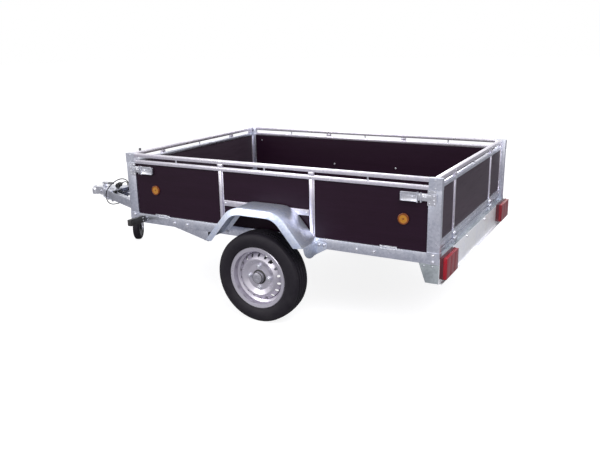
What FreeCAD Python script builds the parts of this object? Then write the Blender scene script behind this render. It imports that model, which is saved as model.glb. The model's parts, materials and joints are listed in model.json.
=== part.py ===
import FreeCAD, Part
import math
import os

# Single-axle utility trailer: a galvanised frame with plywood sides, a tailgate and a front gate
# hinged at floor level, a rubber-sprung axle, a V drawbar and a jockey wheel that it parks on.
# Millimetres. X points to the coupling, Y to the left and Z up, with the ground at Z = 0.
# Places along X are counted from the outer face of the closed tailgate. The finished pieces
# are then moved so that the origin lies under the middle of the trailer's overall length.

V = FreeCAD.Vector

# Box
box_length = 2081.0
box_width = 1488.0
floor_height = 519.0
side_height = 400.0
beam_height = 61.0
beam_flange = 40.0
sheet = 2.5
floor_thickness = 12.0
panel_thickness = 12.0
rail_depth = 25.0
panel_inset = 10.0
panel_seat = 12.0

# Rails round the top edge, with an open gap between them for straps and nets
top_rail_height = 22.0
rail_gap = 22.0
lower_rail_height = 20.0
rail_wall = 2.0

# Corner posts
post_length = 70.0
post_width = 30.0
post_overhang = 23.0
post_wall = 3.0

# Uprights on the sides and the gates
upright_width = 20.0
upright_flange_width = 34.0
upright_flange_thickness = 2.0
side_upright_spacing = 626.0
gate_upright_spacing = 830.0
spacer_width = 34.0
spacer_depth = 16.0
brace_rise = 123.0
brace_height = 35.0
brace_thickness = 9.0

# Gates and their hinges
gate_clearance = 5.0
gate_bottom_rail_height = 45.0
gate_groove_height = 6.0
gate_groove_depth = 2.0
stile_width = 12.0
hinge_axis_out = 9.0
hinge_axis_up = 2.5
hinge_barrel_radius = 8.0
hinge_barrel_length = 40.0
hinge_pin_radius = 4.0
hinge_fit = 0.4
hinge_ear_radius = 7.0
hinge_ear_thickness = 4.0
hinge_leaf_thickness = 3.0
hinge_leaf_height = 38.0
hinge_plate_width = 62.0

# Floor supports
cross_member_width = 45.0
cross_member_count = 4
cross_member_from_rear = 320.0
cross_member_from_front = 300.0

# Wheels: 155/70 R13 tyres on steel rims
tyre_radius = 273.6
tyre_width = 155.0
tyre_wall = 8.0
tread_thickness = 11.2
bulge_rise = 6.0
tread_width = 124.0
crown_width = 60.0
crown_drop = 2.5
shoulder_drop = 7.0
wheel_gap = 17.0
axle_back = 29.5
rim_flange_radius = 186.0
bead_radius = 166.0
rim_well_radius = 148.0
rim_well_inner = 30.0
rim_well_outer = 16.0
rim_well_slope = 9.0
rim_width = 114.0
rim_sheet = 3.0
disc_sheet = 4.0
wheel_offset = 30.0
centre_hole_radius = 42.5
dish_depth = 14.0
dish_heel = 10.0
disc_root = 4.0
crest_radius = 108.0
slot_count = 18
slot_radius = 132.0
slot_length = 19.0
slot_width = 14.0
bolt_circle_radius = 65.0
bolt_count = 4
bolt_head_radius = 10.0
bolt_head_height = 12.0
bolt_radius = 6.0
hub_radius = 32.0
hub_length = 72.0
hub_flange_radius = 80.0
hub_flange_thickness = 10.0
stub_radius = 15.0
stub_fit = 0.4
cap_radius = 35.0
cap_length = 30.0
cap_edge = 5.0
cap_wall = 10.0
stub_clearance = 6.0
part_gap = 0.3

# Axle with rubber-sprung trailing arms
axle_tube = 50.0
axle_tube_wall = 3.0
pivot_forward = 135.0
pivot_drop = 113.0
arm_thickness = 34.0
arm_pivot_radius = 30.0
arm_stub_radius = 26.0
bracket_width = 60.0
bracket_length = 180.0
bracket_plate = 6.0
bracket_inset = 46.0

# Mudguards
guard_rise = 171.0
guard_flat = 176.0
guard_corner_radius = 150.0
guard_leg_angle = 50.0
guard_front_drop = 49.0
guard_rear_drop = 19.0
guard_width = 190.0
guard_lip = 37.0
guard_lip_lean = 15.0
guard_flange = 27.0
guard_sheet = 2.0
guard_flap_drop = 78.0
guard_gusset_length = 62.0
guard_gusset_drop = 12.0

# Drawbar and coupling
drawbar_reach = 1086.0
drawbar_under = 620.0
drawbar_height = 65.0
drawbar_width = 40.0
drawbar_wall = 3.0
drawbar_cut = 122.0
head_plate_back = 267.0
head_plate_length = 190.0
head_plate_margin = 14.0
head_plate_thickness = 6.0
ball_radius = 25.0
ball_ahead = 33.0
ball_rise = 3.0
socket_fit = 0.4
socket_wall = 10.6
shank_width = 56.0
shank_back = 182.0
shank_length = 150.0
cup_skirt = 4.0
cup_shoulder = 8.0
handle_back = 55.0
handle_length = 108.0
handle_width = 26.0
handle_bar = 14.0
handle_rise = 44.0
handle_stem = 24.0
handle_lean = 6.0

# Jockey wheel, clamped to the inner face of the right drawbar arm
jockey_back = 317.0
jockey_tube_radius = 24.0
jockey_tube_wall = 3.0
jockey_tube_drop = 23.0
jockey_tube_length = 330.0
jockey_inner_radius = 20.5
jockey_inner_length = 330.0
jockey_wheel_radius = 100.0
jockey_wheel_width = 56.0
jockey_axle_radius = 6.0
jockey_axle_fit = 0.5
jockey_axle_out = 6.0
jockey_boss_radius = 18.0
jockey_boss_rise = 4.0
jockey_dish = 8.0
jockey_tyre_profile = ((8.0, 34.0), (0.0, 28.0), (1.0, 12.0), (8.0, 3.0), (16.0, 0.0))
jockey_trail = 40.0
jockey_turn = -60.6
fork_top = 222.0
fork_plate = 4.0
fork_gap = 6.0
fork_leg_width = 44.0
fork_cover_length = 118.0
clamp_height = 40.0
clamp_wall = 8.0
clamp_gap = 10.0
clamp_screw_length = 24.0
clamp_screw_radius = 6.0
clamp_bar_length = 60.0
clamp_bar_radius = 4.0
crank_length = 120.0
crank_grip = 70.0
crank_radius = 6.0
crank_rise = 22.0
crank_hub_radius = 8.5
crank_grip_radius = 10.0

# Lights and reflectors
board_drop = 27.0
board_height = 139.0
board_sheet = 2.0
board_lip = 15.0
board_side_top = 88.0
board_side_bottom = 50.0
lamp_width = 212.0
lamp_height = 116.0
lamp_rise = 31.0
lamp_corner = 8.0
lamp_depth = 40.0
lamp_base = 14.0
front_lamp_from_front = 78.0
front_lamp_reach = 128.0
front_lamp_height = 42.0
front_lamp_rise = 5.0
front_lamp_depth = 26.0
front_lens_depth = 8.0
front_lens_from_beam = 30.0
front_lens_margin = 3.0
reflector_radius = 29.0
reflector_thickness = 8.0
reflector_rise = 168.0
reflector_from_rear = 181.0
reflector_from_front = 204.0

# Electric cable, from its gland on the left arm round under the head plates to the plug on top.
# The route is counted from the drawbar's point and from the height of its top.
cable_radius = 3.75
cable_bend_share = 0.45
cable_route = (
    (-347.2, 147.35, 16.8), (-382, 162, 27), (-418, 175, 30), (-452, 184, 27.5), (-487, 188, 30),
    (-514, 184, 57), (-514, 176, 95), (-486, 167, 122), (-446, 157, 127), (-405, 147, 123),
    (-364, 139, 111), (-324, 132, 93), (-287, 127, 71), (-250, 125, 44), (-218, 125.5, 13),
    (-201, 126, -25), (-199, 125, -63), (-204, 114, -98), (-212, 85, -119), (-218, 48, -124),
    (-221, 8, -125), (-220, -32, -126), (-216, -70, -122), (-210, -103, -108), (-204, -121, -79),
    (-201, -124, -42), (-204, -128, -7), (-210, -117, 27), (-217, -86, 43), (-224, -49, 37.7))
gland_profile = ((0.0, 8.0), (24.0, 8.0), (26.0, 6.0), (34.0, 5.2))
gland_base_length = 30.0
gland_base_width = 24.0
gland_base_height = 12.0
plug_profile = ((0.0, 5.5), (24.0, 8.5), (25.0, 12.0), (30.0, 17.0), (34.0, 19.0), (68.0, 19.0),
                (68.0, 21.0), (75.0, 21.0), (75.0, 17.0), (85.0, 17.0))

# Latches and panel clips
latch_drop = 40.0
latch_base_length = 148.0
latch_base_height = 40.0
latch_plate_height = 30.0
latch_plate_thickness = 3.0
latch_reach = 42.0
latch_handle_start = 54.0
latch_handle_length = 92.0
latch_handle_height = 50.0
latch_handle_depth = 10.0
clip_from_rear = 263.0
clip_from_front = 237.0
clip_length = 100.0
clip_height = 8.0
clip_depth = 7.0

# Places that follow from the sizes above
half_width = box_width / 2
beam_bottom = floor_height - beam_height
rail_top = floor_height + side_height
top_rail_bottom = rail_top - top_rail_height
lower_rail_top = top_rail_bottom - rail_gap
lower_rail_bottom = lower_rail_top - lower_rail_height
panel_top = lower_rail_bottom + panel_seat
panel_outer = half_width - panel_inset
panel_inner = panel_outer - panel_thickness
post_inner = half_width - post_width
post_end = post_length - post_overhang
gate_half_width = post_inner - gate_clearance
gate_bottom = floor_height + gate_clearance
gate_rail_top = gate_bottom + gate_bottom_rail_height
gate_panel_out = (rail_depth - panel_thickness) / 2
hinge_height = floor_height + hinge_axis_up
axle_from_rear = box_length / 2 - axle_back
tyre_inner = half_width + wheel_gap
wheel_centre_y = tyre_inner + tyre_width / 2
wheel_height = tyre_radius
drawbar_top = beam_bottom
drawbar_bottom = drawbar_top - drawbar_height
drawbar_apex = box_length + drawbar_reach
drawbar_front = drawbar_apex - drawbar_cut
drawbar_slope = (half_width - beam_flange / 2) / (drawbar_reach + drawbar_under)
drawbar_half_angle = math.degrees(math.atan(drawbar_slope))
drawbar_cosine = math.cos(math.atan(drawbar_slope))
drawbar_edge = drawbar_width / 2 / drawbar_cosine
head_plate_rear = drawbar_apex - head_plate_back
head_plate_front = head_plate_rear + head_plate_length
shank_rear = drawbar_apex - shank_back
shank_front = shank_rear + shank_length
handle_front = drawbar_apex - handle_back
ball_place = drawbar_apex + ball_ahead
ball_height = (drawbar_top + drawbar_bottom) / 2 + ball_rise
jockey_place = drawbar_apex - jockey_back
jockey_tube_bottom = drawbar_bottom - jockey_tube_drop
brace_bottom = floor_height + brace_rise
board_top = floor_height - board_drop
board_bottom = board_top - board_height
lamp_bottom = board_bottom + lamp_rise
front_lamp_place = box_length - front_lamp_from_front
front_lamp_bottom = beam_bottom + front_lamp_rise
reflector_height = floor_height + reflector_rise
reflector_places = (reflector_from_rear, box_length - reflector_from_front)
latch_height = lower_rail_bottom - latch_drop
clip_places = (clip_from_rear, box_length - clip_from_front)
cross_member_pitch = ((box_length - cross_member_from_front - cross_member_from_rear)
                      / (cross_member_count - 1))
cross_member_places = [cross_member_from_rear + cross_member_pitch * i
                       for i in range(cross_member_count)]
guard_top = floor_height + guard_rise
guard_front_height = floor_height - guard_front_drop
guard_rear_height = floor_height - guard_rear_drop
pivot_place = axle_from_rear + pivot_forward
pivot_height = beam_bottom - pivot_drop
mount_face = wheel_centre_y + wheel_offset
rear_end = -post_overhang - board_sheet - lamp_depth
front_end = ball_place + ball_radius + socket_fit + socket_wall
middle = (rear_end + front_end) / 2
to_origin = V(-middle, 0, 0)

os.makedirs("parts", exist_ok=True)


def block(x0, x1, y0, y1, z0, z1):
    return Part.makeBox(x1 - x0, y1 - y0, z1 - z0, V(x0, y0, z0))


def rod(start, direction, length, radius):
    return Part.makeCylinder(radius, length, start, direction)


def fuse(shapes):
    return shapes[0].multiFuse(shapes[1:]).removeSplitter()


def to_right(shape):
    return shape.mirror(V(0, 0, 0), V(0, 1, 0))


def to_front(shape):
    return shape.mirror(V(box_length / 2, 0, 0), V(1, 0, 0))


def both_sides(shape):
    return [shape, to_right(shape)]


def four_corners(shape):
    return both_sides(shape) + both_sides(to_front(shape))


def prism_y(outline, y0, y1):
    points = [V(x, y0, z) for x, z in outline]
    face = Part.Face(Part.makePolygon(points + points[:1]))
    return face.extrude(V(0, y1 - y0, 0))


def prism_z(outline, z0, z1):
    points = [V(x, y, z0) for x, y in outline]
    face = Part.Face(Part.makePolygon(points + points[:1]))
    return face.extrude(V(0, 0, z1 - z0))


def tube_x(x0, x1, y0, y1, z0, z1, wall):
    outer = block(x0, x1, y0, y1, z0, z1)
    return outer.cut(block(x0, x1, y0 + wall, y1 - wall, z0 + wall, z1 - wall))


def tube_y(x0, x1, y0, y1, z0, z1, wall):
    outer = block(x0, x1, y0, y1, z0, z1)
    return outer.cut(block(x0 + wall, x1 - wall, y0, y1, z0 + wall, z1 - wall))


def revolve_y(outline, centre, angle=360.0, start=0.0):
    """Turn an outline of (y, radius) points about the Y axis through centre."""
    points = [V(centre.x, y, centre.z + radius) for y, radius in outline]
    face = Part.Face(Part.makePolygon(points + points[:1]))
    axis = V(0, 1, 0)
    face.rotate(centre, axis, start)
    return face.revolve(centre, axis, angle)


def turned(profile, start, direction):
    """Turn a profile of (distance along, radius) points about an axis from start."""
    along = V(direction).normalize()
    across = along.cross(V(0, 0, 1)).normalize()
    points = [start + along * profile[0][0]]
    points += [start + along * reach + across * radius for reach, radius in profile]
    points.append(start + along * profile[-1][0])
    face = Part.Face(Part.makePolygon(points + points[:1]))
    return face.revolve(start, along, 360)


def save(name, shapes):
    shape = shapes[0] if len(shapes) == 1 else Part.makeCompound(shapes)
    shape.translate(to_origin)
    shape.exportStep("parts/%s.step" % name)


# Chassis

def make_side_beam():
    """A channel folded inwards, with its web on the outside."""
    x0 = post_end
    x1 = box_length - post_end
    outer = block(x0, x1, half_width - beam_flange, half_width, beam_bottom, floor_height)
    hollow = block(x0, x1, half_width - beam_flange, half_width - sheet,
                   beam_bottom + sheet, floor_height - sheet)
    return outer.cut(hollow)


def make_end_beam():
    """The rear cross beam, folded forwards. The front one is its mirror image."""
    outer = block(0, beam_flange, -post_inner, post_inner, beam_bottom, floor_height)
    hollow = block(sheet, beam_flange, -post_inner, post_inner,
                   beam_bottom + sheet, floor_height - sheet)
    return outer.cut(hollow)


def make_cross_member(place):
    reach = half_width - sheet
    bottom = beam_bottom + sheet
    top = floor_height - floor_thickness
    outer = block(place, place + cross_member_width, -reach, reach, bottom, top)
    hollow = block(place + sheet, place + cross_member_width, -reach, reach,
                   bottom + sheet, top - sheet)
    return outer.cut(hollow)


def make_floor():
    reach = half_width - beam_flange
    return block(beam_flange, box_length - beam_flange, -reach, reach,
                 floor_height - floor_thickness, floor_height)


def make_post():
    outer = block(-post_overhang, post_end, post_inner, half_width, beam_bottom, rail_top)
    hollow = block(-post_overhang + post_wall, post_end - post_wall,
                   post_inner + post_wall, half_width - post_wall,
                   beam_bottom, rail_top - post_wall)
    return outer.cut(hollow)


# Sides

def make_side_panel():
    return block(post_end, box_length - post_end, panel_inner, panel_outer,
                 floor_height, panel_top)


def make_side_lower_rail():
    x0 = post_end
    x1 = box_length - post_end
    outer = block(x0, x1, half_width - rail_depth, half_width, lower_rail_bottom, lower_rail_top)
    return outer.cut(block(x0, x1, panel_inner, panel_outer, lower_rail_bottom, panel_top))


def make_side_top_rail():
    return tube_x(post_end, box_length - post_end, half_width - rail_depth, half_width,
                  top_rail_bottom, rail_top, rail_wall)


def make_side_upright(place):
    """A hat section against the panel, with its spacer in the gap between the rails."""
    flange = block(place - upright_flange_width / 2, place + upright_flange_width / 2,
                   panel_outer, panel_outer + upright_flange_thickness,
                   floor_height, lower_rail_bottom)
    crown = block(place - upright_width / 2, place + upright_width / 2,
                  panel_outer, half_width, floor_height, lower_rail_bottom)
    spacer = block(place - spacer_width / 2, place + spacer_width / 2,
                   half_width - spacer_depth, half_width, lower_rail_top, top_rail_bottom)
    return [fuse([flange, crown]), spacer]


def make_brace():
    reach = (side_upright_spacing - upright_flange_width) / 2
    centre = box_length / 2
    return block(centre - reach, centre + reach, half_width - brace_thickness, half_width,
                 brace_bottom, brace_bottom + brace_height)


def make_clip(place):
    return block(place - clip_length / 2, place + clip_length / 2,
                 panel_outer, panel_outer + clip_depth, floor_height, floor_height + clip_height)


def make_reflector(place):
    return rod(V(place, panel_outer, reflector_height), V(0, 1, 0),
               reflector_thickness, reflector_radius)


def make_latch():
    """The rear left latch: a base beside the post, a strap over both and a lever folded from sheet."""
    x0 = post_end
    x1 = x0 + latch_base_length
    half_base = latch_base_height / 2
    half_strap = latch_plate_height / 2
    half_handle = latch_handle_height / 2
    front = half_width + latch_plate_thickness
    base = block(x0, x1, panel_outer, half_width, latch_height - half_base,
                 latch_height + half_base)
    strap = block(x0 - latch_reach, x1, half_width, front,
                  latch_height - half_strap, latch_height + half_strap)
    h0 = x0 + latch_handle_start
    h1 = h0 + latch_handle_length
    lever = block(h0, h1, front, front + latch_handle_depth,
                  latch_height - half_handle, latch_height + half_handle)
    hollow = block(h0 + sheet, h1 - sheet, front + sheet, front + latch_handle_depth,
                   latch_height - half_handle + sheet, latch_height + half_handle - sheet)
    return fuse([base, strap, lever.cut(hollow)])


# Gates, modelled as the tailgate. The front gate is its mirror image.

def make_gate_panel():
    y = gate_half_width - stile_width
    return block(gate_panel_out, gate_panel_out + panel_thickness, -y, y,
                 gate_rail_top - panel_seat, panel_top)


def make_gate_bottom_rail():
    """The rail that holds the panel's foot, with its hinge leaves and their barrels."""
    y = gate_half_width
    rail = block(0, rail_depth, -y, y, gate_bottom, gate_rail_top)
    seat = block(gate_panel_out, gate_panel_out + panel_thickness, -y + stile_width,
                 y - stile_width, gate_rail_top - panel_seat, gate_rail_top)
    middle_height = (gate_bottom + gate_rail_top) / 2
    groove = block(0, gate_groove_depth, -y, y, middle_height - gate_groove_height / 2,
                   middle_height + gate_groove_height / 2)
    shapes = [rail.cut(seat).cut(groove)]
    bores = []
    for place in (-gate_upright_spacing / 2, gate_upright_spacing / 2):
        start = V(-hinge_axis_out, place - hinge_barrel_length / 2, hinge_height)
        shapes.append(rod(start, V(0, 1, 0), hinge_barrel_length, hinge_barrel_radius))
        shapes.append(block(-hinge_leaf_thickness, 0, place - hinge_barrel_length / 2,
                            place + hinge_barrel_length / 2, gate_bottom,
                            gate_bottom + hinge_leaf_height))
        bores.append(rod(start, V(0, 1, 0), hinge_barrel_length,
                         hinge_pin_radius + hinge_fit))
    return fuse(shapes).cut(Part.makeCompound(bores))


def make_gate_lower_rail():
    y = gate_half_width
    outer = block(0, rail_depth, -y, y, lower_rail_bottom, lower_rail_top)
    return outer.cut(block(gate_panel_out, gate_panel_out + panel_thickness,
                           -y + stile_width, y - stile_width, lower_rail_bottom, panel_top))


def make_gate_top_rail():
    y = gate_half_width
    return tube_y(0, rail_depth, -y, y, top_rail_bottom, rail_top, rail_wall)


def make_gate_uprights():
    """Two hat sections, two end stiles and the spacers between the two top rails."""
    solids = []
    for place in (-gate_upright_spacing / 2, gate_upright_spacing / 2):
        flange = block(gate_panel_out - upright_flange_thickness, gate_panel_out,
                       place - upright_flange_width / 2, place + upright_flange_width / 2,
                       gate_rail_top, lower_rail_bottom)
        crown = block(0, gate_panel_out, place - upright_width / 2, place + upright_width / 2,
                      gate_rail_top, lower_rail_bottom)
        solids.append(fuse([flange, crown]))
        solids.append(block(0, spacer_depth, place - spacer_width / 2, place + spacer_width / 2,
                            lower_rail_top, top_rail_bottom))
    stile = block(0, rail_depth, gate_half_width - stile_width, gate_half_width,
                  gate_rail_top, lower_rail_bottom)
    end_spacer = block(0, spacer_depth, gate_half_width - spacer_width, gate_half_width,
                       lower_rail_top, top_rail_bottom)
    return solids + both_sides(stile) + both_sides(end_spacer)


def make_hinge_bracket(place):
    """A plate on the rear beam with two ears and the pin that the gate's barrel turns on."""
    half = hinge_barrel_length / 2
    plate_bottom = board_top + part_gap
    plate = block(-hinge_leaf_thickness, 0, place - hinge_plate_width / 2,
                  place + hinge_plate_width / 2, plate_bottom, floor_height - hinge_leaf_thickness)
    shapes = [plate]
    for y in (place - half - part_gap - hinge_ear_thickness, place + half + part_gap):
        ear = rod(V(-hinge_axis_out, y, hinge_height), V(0, 1, 0),
                  hinge_ear_thickness, hinge_ear_radius)
        foot = block(-hinge_axis_out - hinge_ear_radius, 0, y, y + hinge_ear_thickness,
                     plate_bottom, floor_height - hinge_leaf_thickness)
        neck = block(-hinge_axis_out - hinge_ear_radius, -hinge_leaf_thickness, y,
                     y + hinge_ear_thickness, plate_bottom, hinge_height)
        shapes += [ear, foot, neck]
    reach = half + part_gap + hinge_ear_thickness
    shapes.append(rod(V(-hinge_axis_out, place - reach, hinge_height), V(0, 1, 0),
                      2 * reach, hinge_pin_radius))
    return fuse(shapes)


# Wheels

def make_tyre():
    """The carcass and tread as one shell, open towards the rim."""
    c = wheel_centre_y
    bead = rim_width / 2 - part_gap
    half_tread = tread_width / 2
    half_tyre = tyre_width / 2
    bulge_radius = (tyre_radius + bead_radius) / 2 + bulge_rise
    inner_radius = tyre_radius - tread_thickness
    foot = bead_radius + part_gap

    def at(y, radius):
        return V(axle_from_rear, c + y, wheel_height + radius)

    def curve(a, b, d):
        return Part.Arc(at(*a), at(*b), at(*d)).toShape()

    def line(a, b):
        return Part.makeLine(at(*a), at(*b))

    shoulder = tyre_radius - shoulder_drop
    half_crown = crown_width / 2
    lean = half_tyre - tyre_wall
    crown_edge = (half_tread + half_crown) / 2
    edges = [
        line((-bead, foot), (-bead, rim_flange_radius)),
        curve((-bead, rim_flange_radius), (-half_tyre, bulge_radius), (-half_tread, shoulder)),
        line((-half_tread, shoulder), (-crown_edge, tyre_radius - crown_drop)),
        line((-crown_edge, tyre_radius - crown_drop), (-half_crown, tyre_radius)),
        line((-half_crown, tyre_radius), (half_crown, tyre_radius)),
        line((half_crown, tyre_radius), (crown_edge, tyre_radius - crown_drop)),
        line((crown_edge, tyre_radius - crown_drop), (half_tread, shoulder)),
        curve((half_tread, shoulder), (half_tyre, bulge_radius), (bead, rim_flange_radius)),
        line((bead, rim_flange_radius), (bead, foot)),
        line((bead, foot), (bead - tyre_wall, foot)),
        line((bead - tyre_wall, foot), (bead - tyre_wall, rim_flange_radius)),
        curve((bead - tyre_wall, rim_flange_radius), (lean, bulge_radius),
              (half_tread - tyre_wall, inner_radius)),
        line((half_tread - tyre_wall, inner_radius), (tyre_wall - half_tread, inner_radius)),
        curve((tyre_wall - half_tread, inner_radius), (-lean, bulge_radius),
              (tyre_wall - bead, rim_flange_radius)),
        line((tyre_wall - bead, rim_flange_radius), (tyre_wall - bead, foot)),
        line((tyre_wall - bead, foot), (-bead, foot)),
    ]
    face = Part.Face(Part.Wire(edges))
    return face.revolve(V(axle_from_rear, c, wheel_height), V(0, 1, 0), 360)


def make_rim():
    """A pressed steel rim with its well, and the dished disc with a ring of slots."""
    c = wheel_centre_y
    centre = V(axle_from_rear, c, wheel_height)
    h = rim_width / 2
    t = rim_sheet
    ledge = bead_radius
    well = rim_well_radius
    flange = rim_flange_radius
    well_in = c - rim_well_inner
    well_out = c + rim_well_outer
    slope = t / 3
    barrel = revolve_y([
        (c - h, ledge), (c - h, flange - t), (c - h - t, flange), (c - h - 2 * t, flange - t),
        (c - h - t, ledge - t), (well_in - rim_well_slope, ledge - 2 * t), (well_in, well - t),
        (well_out, well - t), (well_out + rim_well_slope, ledge - 2 * t), (c + h + t, ledge - t),
        (c + h + 2 * t, flange - t), (c + h + t, flange), (c + h, flange - t), (c + h, ledge),
        (well_out + rim_well_slope - slope, ledge - t), (well_out - slope, well), (well_in + slope, well),
        (well_in - rim_well_slope + slope, ledge - t)], centre)
    seat = c + wheel_offset
    crest = seat + dish_depth
    root = c + disc_root
    inner_edge = bolt_circle_radius + bolt_head_radius + disc_sheet
    outer_edge = well - t
    faces = []
    for shift in (0, disc_sheet):
        faces.append([
            (seat + shift, centre_hole_radius), (seat + shift, inner_edge),
            (seat + dish_depth / 2 + shift, (inner_edge + crest_radius) / 2 - shift / 2),
            (crest + shift, crest_radius - shift / 2), (crest + shift, crest_radius + disc_sheet),
            (seat - dish_heel + shift, outer_edge - disc_sheet), (root + shift, outer_edge)])
    disc = revolve_y(faces[0] + faces[1][::-1], centre)
    cutters = []
    half_run = (slot_length - slot_width) / 2
    deep = rim_width / 2
    for i in range(slot_count):
        slot = fuse([
            rod(V(slot_radius - half_run, 0, 0), V(0, 1, 0), deep, slot_width / 2),
            rod(V(slot_radius + half_run, 0, 0), V(0, 1, 0), deep, slot_width / 2),
            block(slot_radius - half_run, slot_radius + half_run, 0, deep,
                  -slot_width / 2, slot_width / 2)])
        slot.rotate(V(0, 0, 0), V(0, 1, 0), 360.0 / slot_count * (i + 0.5))
        slot.translate(V(axle_from_rear, c, wheel_height))
        cutters.append(slot)
    for i in range(bolt_count):
        hole = rod(V(bolt_circle_radius, 0, 0), V(0, 1, 0), deep, bolt_radius + part_gap)
        hole.rotate(V(0, 0, 0), V(0, 1, 0), 360.0 / bolt_count * i)
        hole.translate(V(axle_from_rear, c, wheel_height))
        cutters.append(hole)
    return barrel.fuse(disc.cut(Part.makeCompound(cutters))).removeSplitter()


def make_hub():
    """The turning hub with its flange, wheel bolts and dust cap, bored for the stub axle."""
    centre = V(axle_from_rear, mount_face, wheel_height)
    cap_end = mount_face + cap_length
    body = revolve_y([
        (mount_face - hub_length, 0), (mount_face - hub_length, hub_radius),
        (mount_face - hub_flange_thickness, hub_radius),
        (mount_face - hub_flange_thickness, hub_flange_radius),
        (mount_face, hub_flange_radius), (mount_face, cap_radius),
        (cap_end - cap_edge, cap_radius), (cap_end, cap_radius - cap_edge), (cap_end, 0)], centre)
    head_start = mount_face + disc_sheet + part_gap
    bolts = []
    for i in range(bolt_count):
        shank = rod(V(bolt_circle_radius, mount_face, 0), V(0, 1, 0),
                    head_start - mount_face, bolt_radius)
        head = rod(V(bolt_circle_radius, head_start, 0), V(0, 1, 0),
                   bolt_head_height, bolt_head_radius)
        bolt = fuse([shank, head])
        bolt.rotate(V(0, 0, 0), V(0, 1, 0), 360.0 / bolt_count * i)
        bolt.translate(V(axle_from_rear, 0, wheel_height))
        bolts.append(bolt)
    bore = rod(V(axle_from_rear, mount_face - hub_length, wheel_height), V(0, 1, 0),
               hub_length + cap_length - cap_wall, stub_radius + stub_fit)
    return fuse([body] + bolts).cut(bore)


# Axle

def make_axle_tube():
    reach = half_width - bracket_inset
    return tube_y(pivot_place - axle_tube / 2, pivot_place + axle_tube / 2, -reach, reach,
                  pivot_height - axle_tube / 2, pivot_height + axle_tube / 2, axle_tube_wall)


def make_axle_bracket():
    """A folded saddle that bolts under the side beam and holds the axle tube."""
    reach = half_width - bracket_inset
    half_tube = axle_tube / 2
    top = block(pivot_place - bracket_length / 2, pivot_place + bracket_length / 2,
                reach - bracket_width, half_width - sheet, beam_bottom - bracket_plate, beam_bottom)
    shapes = [top]
    for side in (-1, 1):
        inner = pivot_place + side * half_tube
        outer = pivot_place + side * (half_tube + bracket_plate)
        shapes.append(block(min(inner, outer), max(inner, outer), reach - bracket_width, reach,
                            pivot_height - half_tube, beam_bottom - bracket_plate))
    shapes.append(block(pivot_place - half_tube, pivot_place + half_tube, reach - bracket_width,
                        reach, pivot_height + half_tube, pivot_height + half_tube + bracket_plate))
    return fuse(shapes)


def make_swing_arm():
    """The trailing arm from the axle tube's end back to the wheel, with its stub axle."""
    inner = half_width - bracket_inset
    pivot = V(pivot_place, inner, pivot_height)
    stub = V(axle_from_rear, inner, wheel_height)
    along = stub - pivot
    across = V(along.z, 0, -along.x).normalize()
    big = rod(pivot, V(0, 1, 0), arm_thickness, arm_pivot_radius)
    small = rod(stub, V(0, 1, 0), arm_thickness, arm_stub_radius)
    corners = [pivot + across * arm_pivot_radius, stub + across * arm_stub_radius,
               stub - across * arm_stub_radius, pivot - across * arm_pivot_radius]
    face = Part.Face(Part.makePolygon(corners + corners[:1]))
    web = face.extrude(V(0, arm_thickness, 0))
    stub_end = mount_face + cap_length - cap_wall - stub_clearance
    spindle = rod(stub, V(0, 1, 0), stub_end - inner, stub_radius)
    return fuse([big, small, web, spindle])


def guard_outline(inset, lean):
    """The arch's face at a distance inside its outer line: a flat top, round corners, straight legs.
    The legs run on past their feet to one level, and are trimmed later."""
    angle = math.radians(guard_leg_angle)
    radius = guard_corner_radius - inset
    corner_height = guard_top - guard_corner_radius
    half_flat = guard_flat / 2
    base = min(guard_front_height, guard_rear_height) - guard_lip
    y = half_width + guard_width + lean

    def at(dx, z):
        return V(axle_from_rear + dx, y, z)

    knee_x = half_flat + radius * math.sin(angle)
    knee_z = corner_height + radius * math.cos(angle)
    foot_x = knee_x + (knee_z - base) / math.tan(angle)
    halves = []
    for side in (1, -1):
        top = at(side * half_flat, corner_height + radius)
        middle = at(side * (half_flat + radius * math.sin(angle / 2)),
                    corner_height + radius * math.cos(angle / 2))
        knee = at(side * knee_x, knee_z)
        halves.append([Part.Arc(top, middle, knee).toShape(),
                       Part.makeLine(knee, at(side * foot_x, base))])
    right, left = halves
    crown = Part.makeLine(at(-half_flat, corner_height + radius), at(half_flat, corner_height + radius))
    sill = Part.makeLine(at(foot_x, base), at(-foot_x, base))
    return Part.Wire(Part.__sortEdges__(right + left + [crown, sill]))


def guard_block(inset, y0, y1):
    """All that lies under the arch's line, from one distance across to another."""
    face = Part.Face(guard_outline(inset, 0))
    face.translate(V(0, y0 - half_width - guard_width, 0))
    return face.extrude(V(0, y1 - y0, 0))


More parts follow.
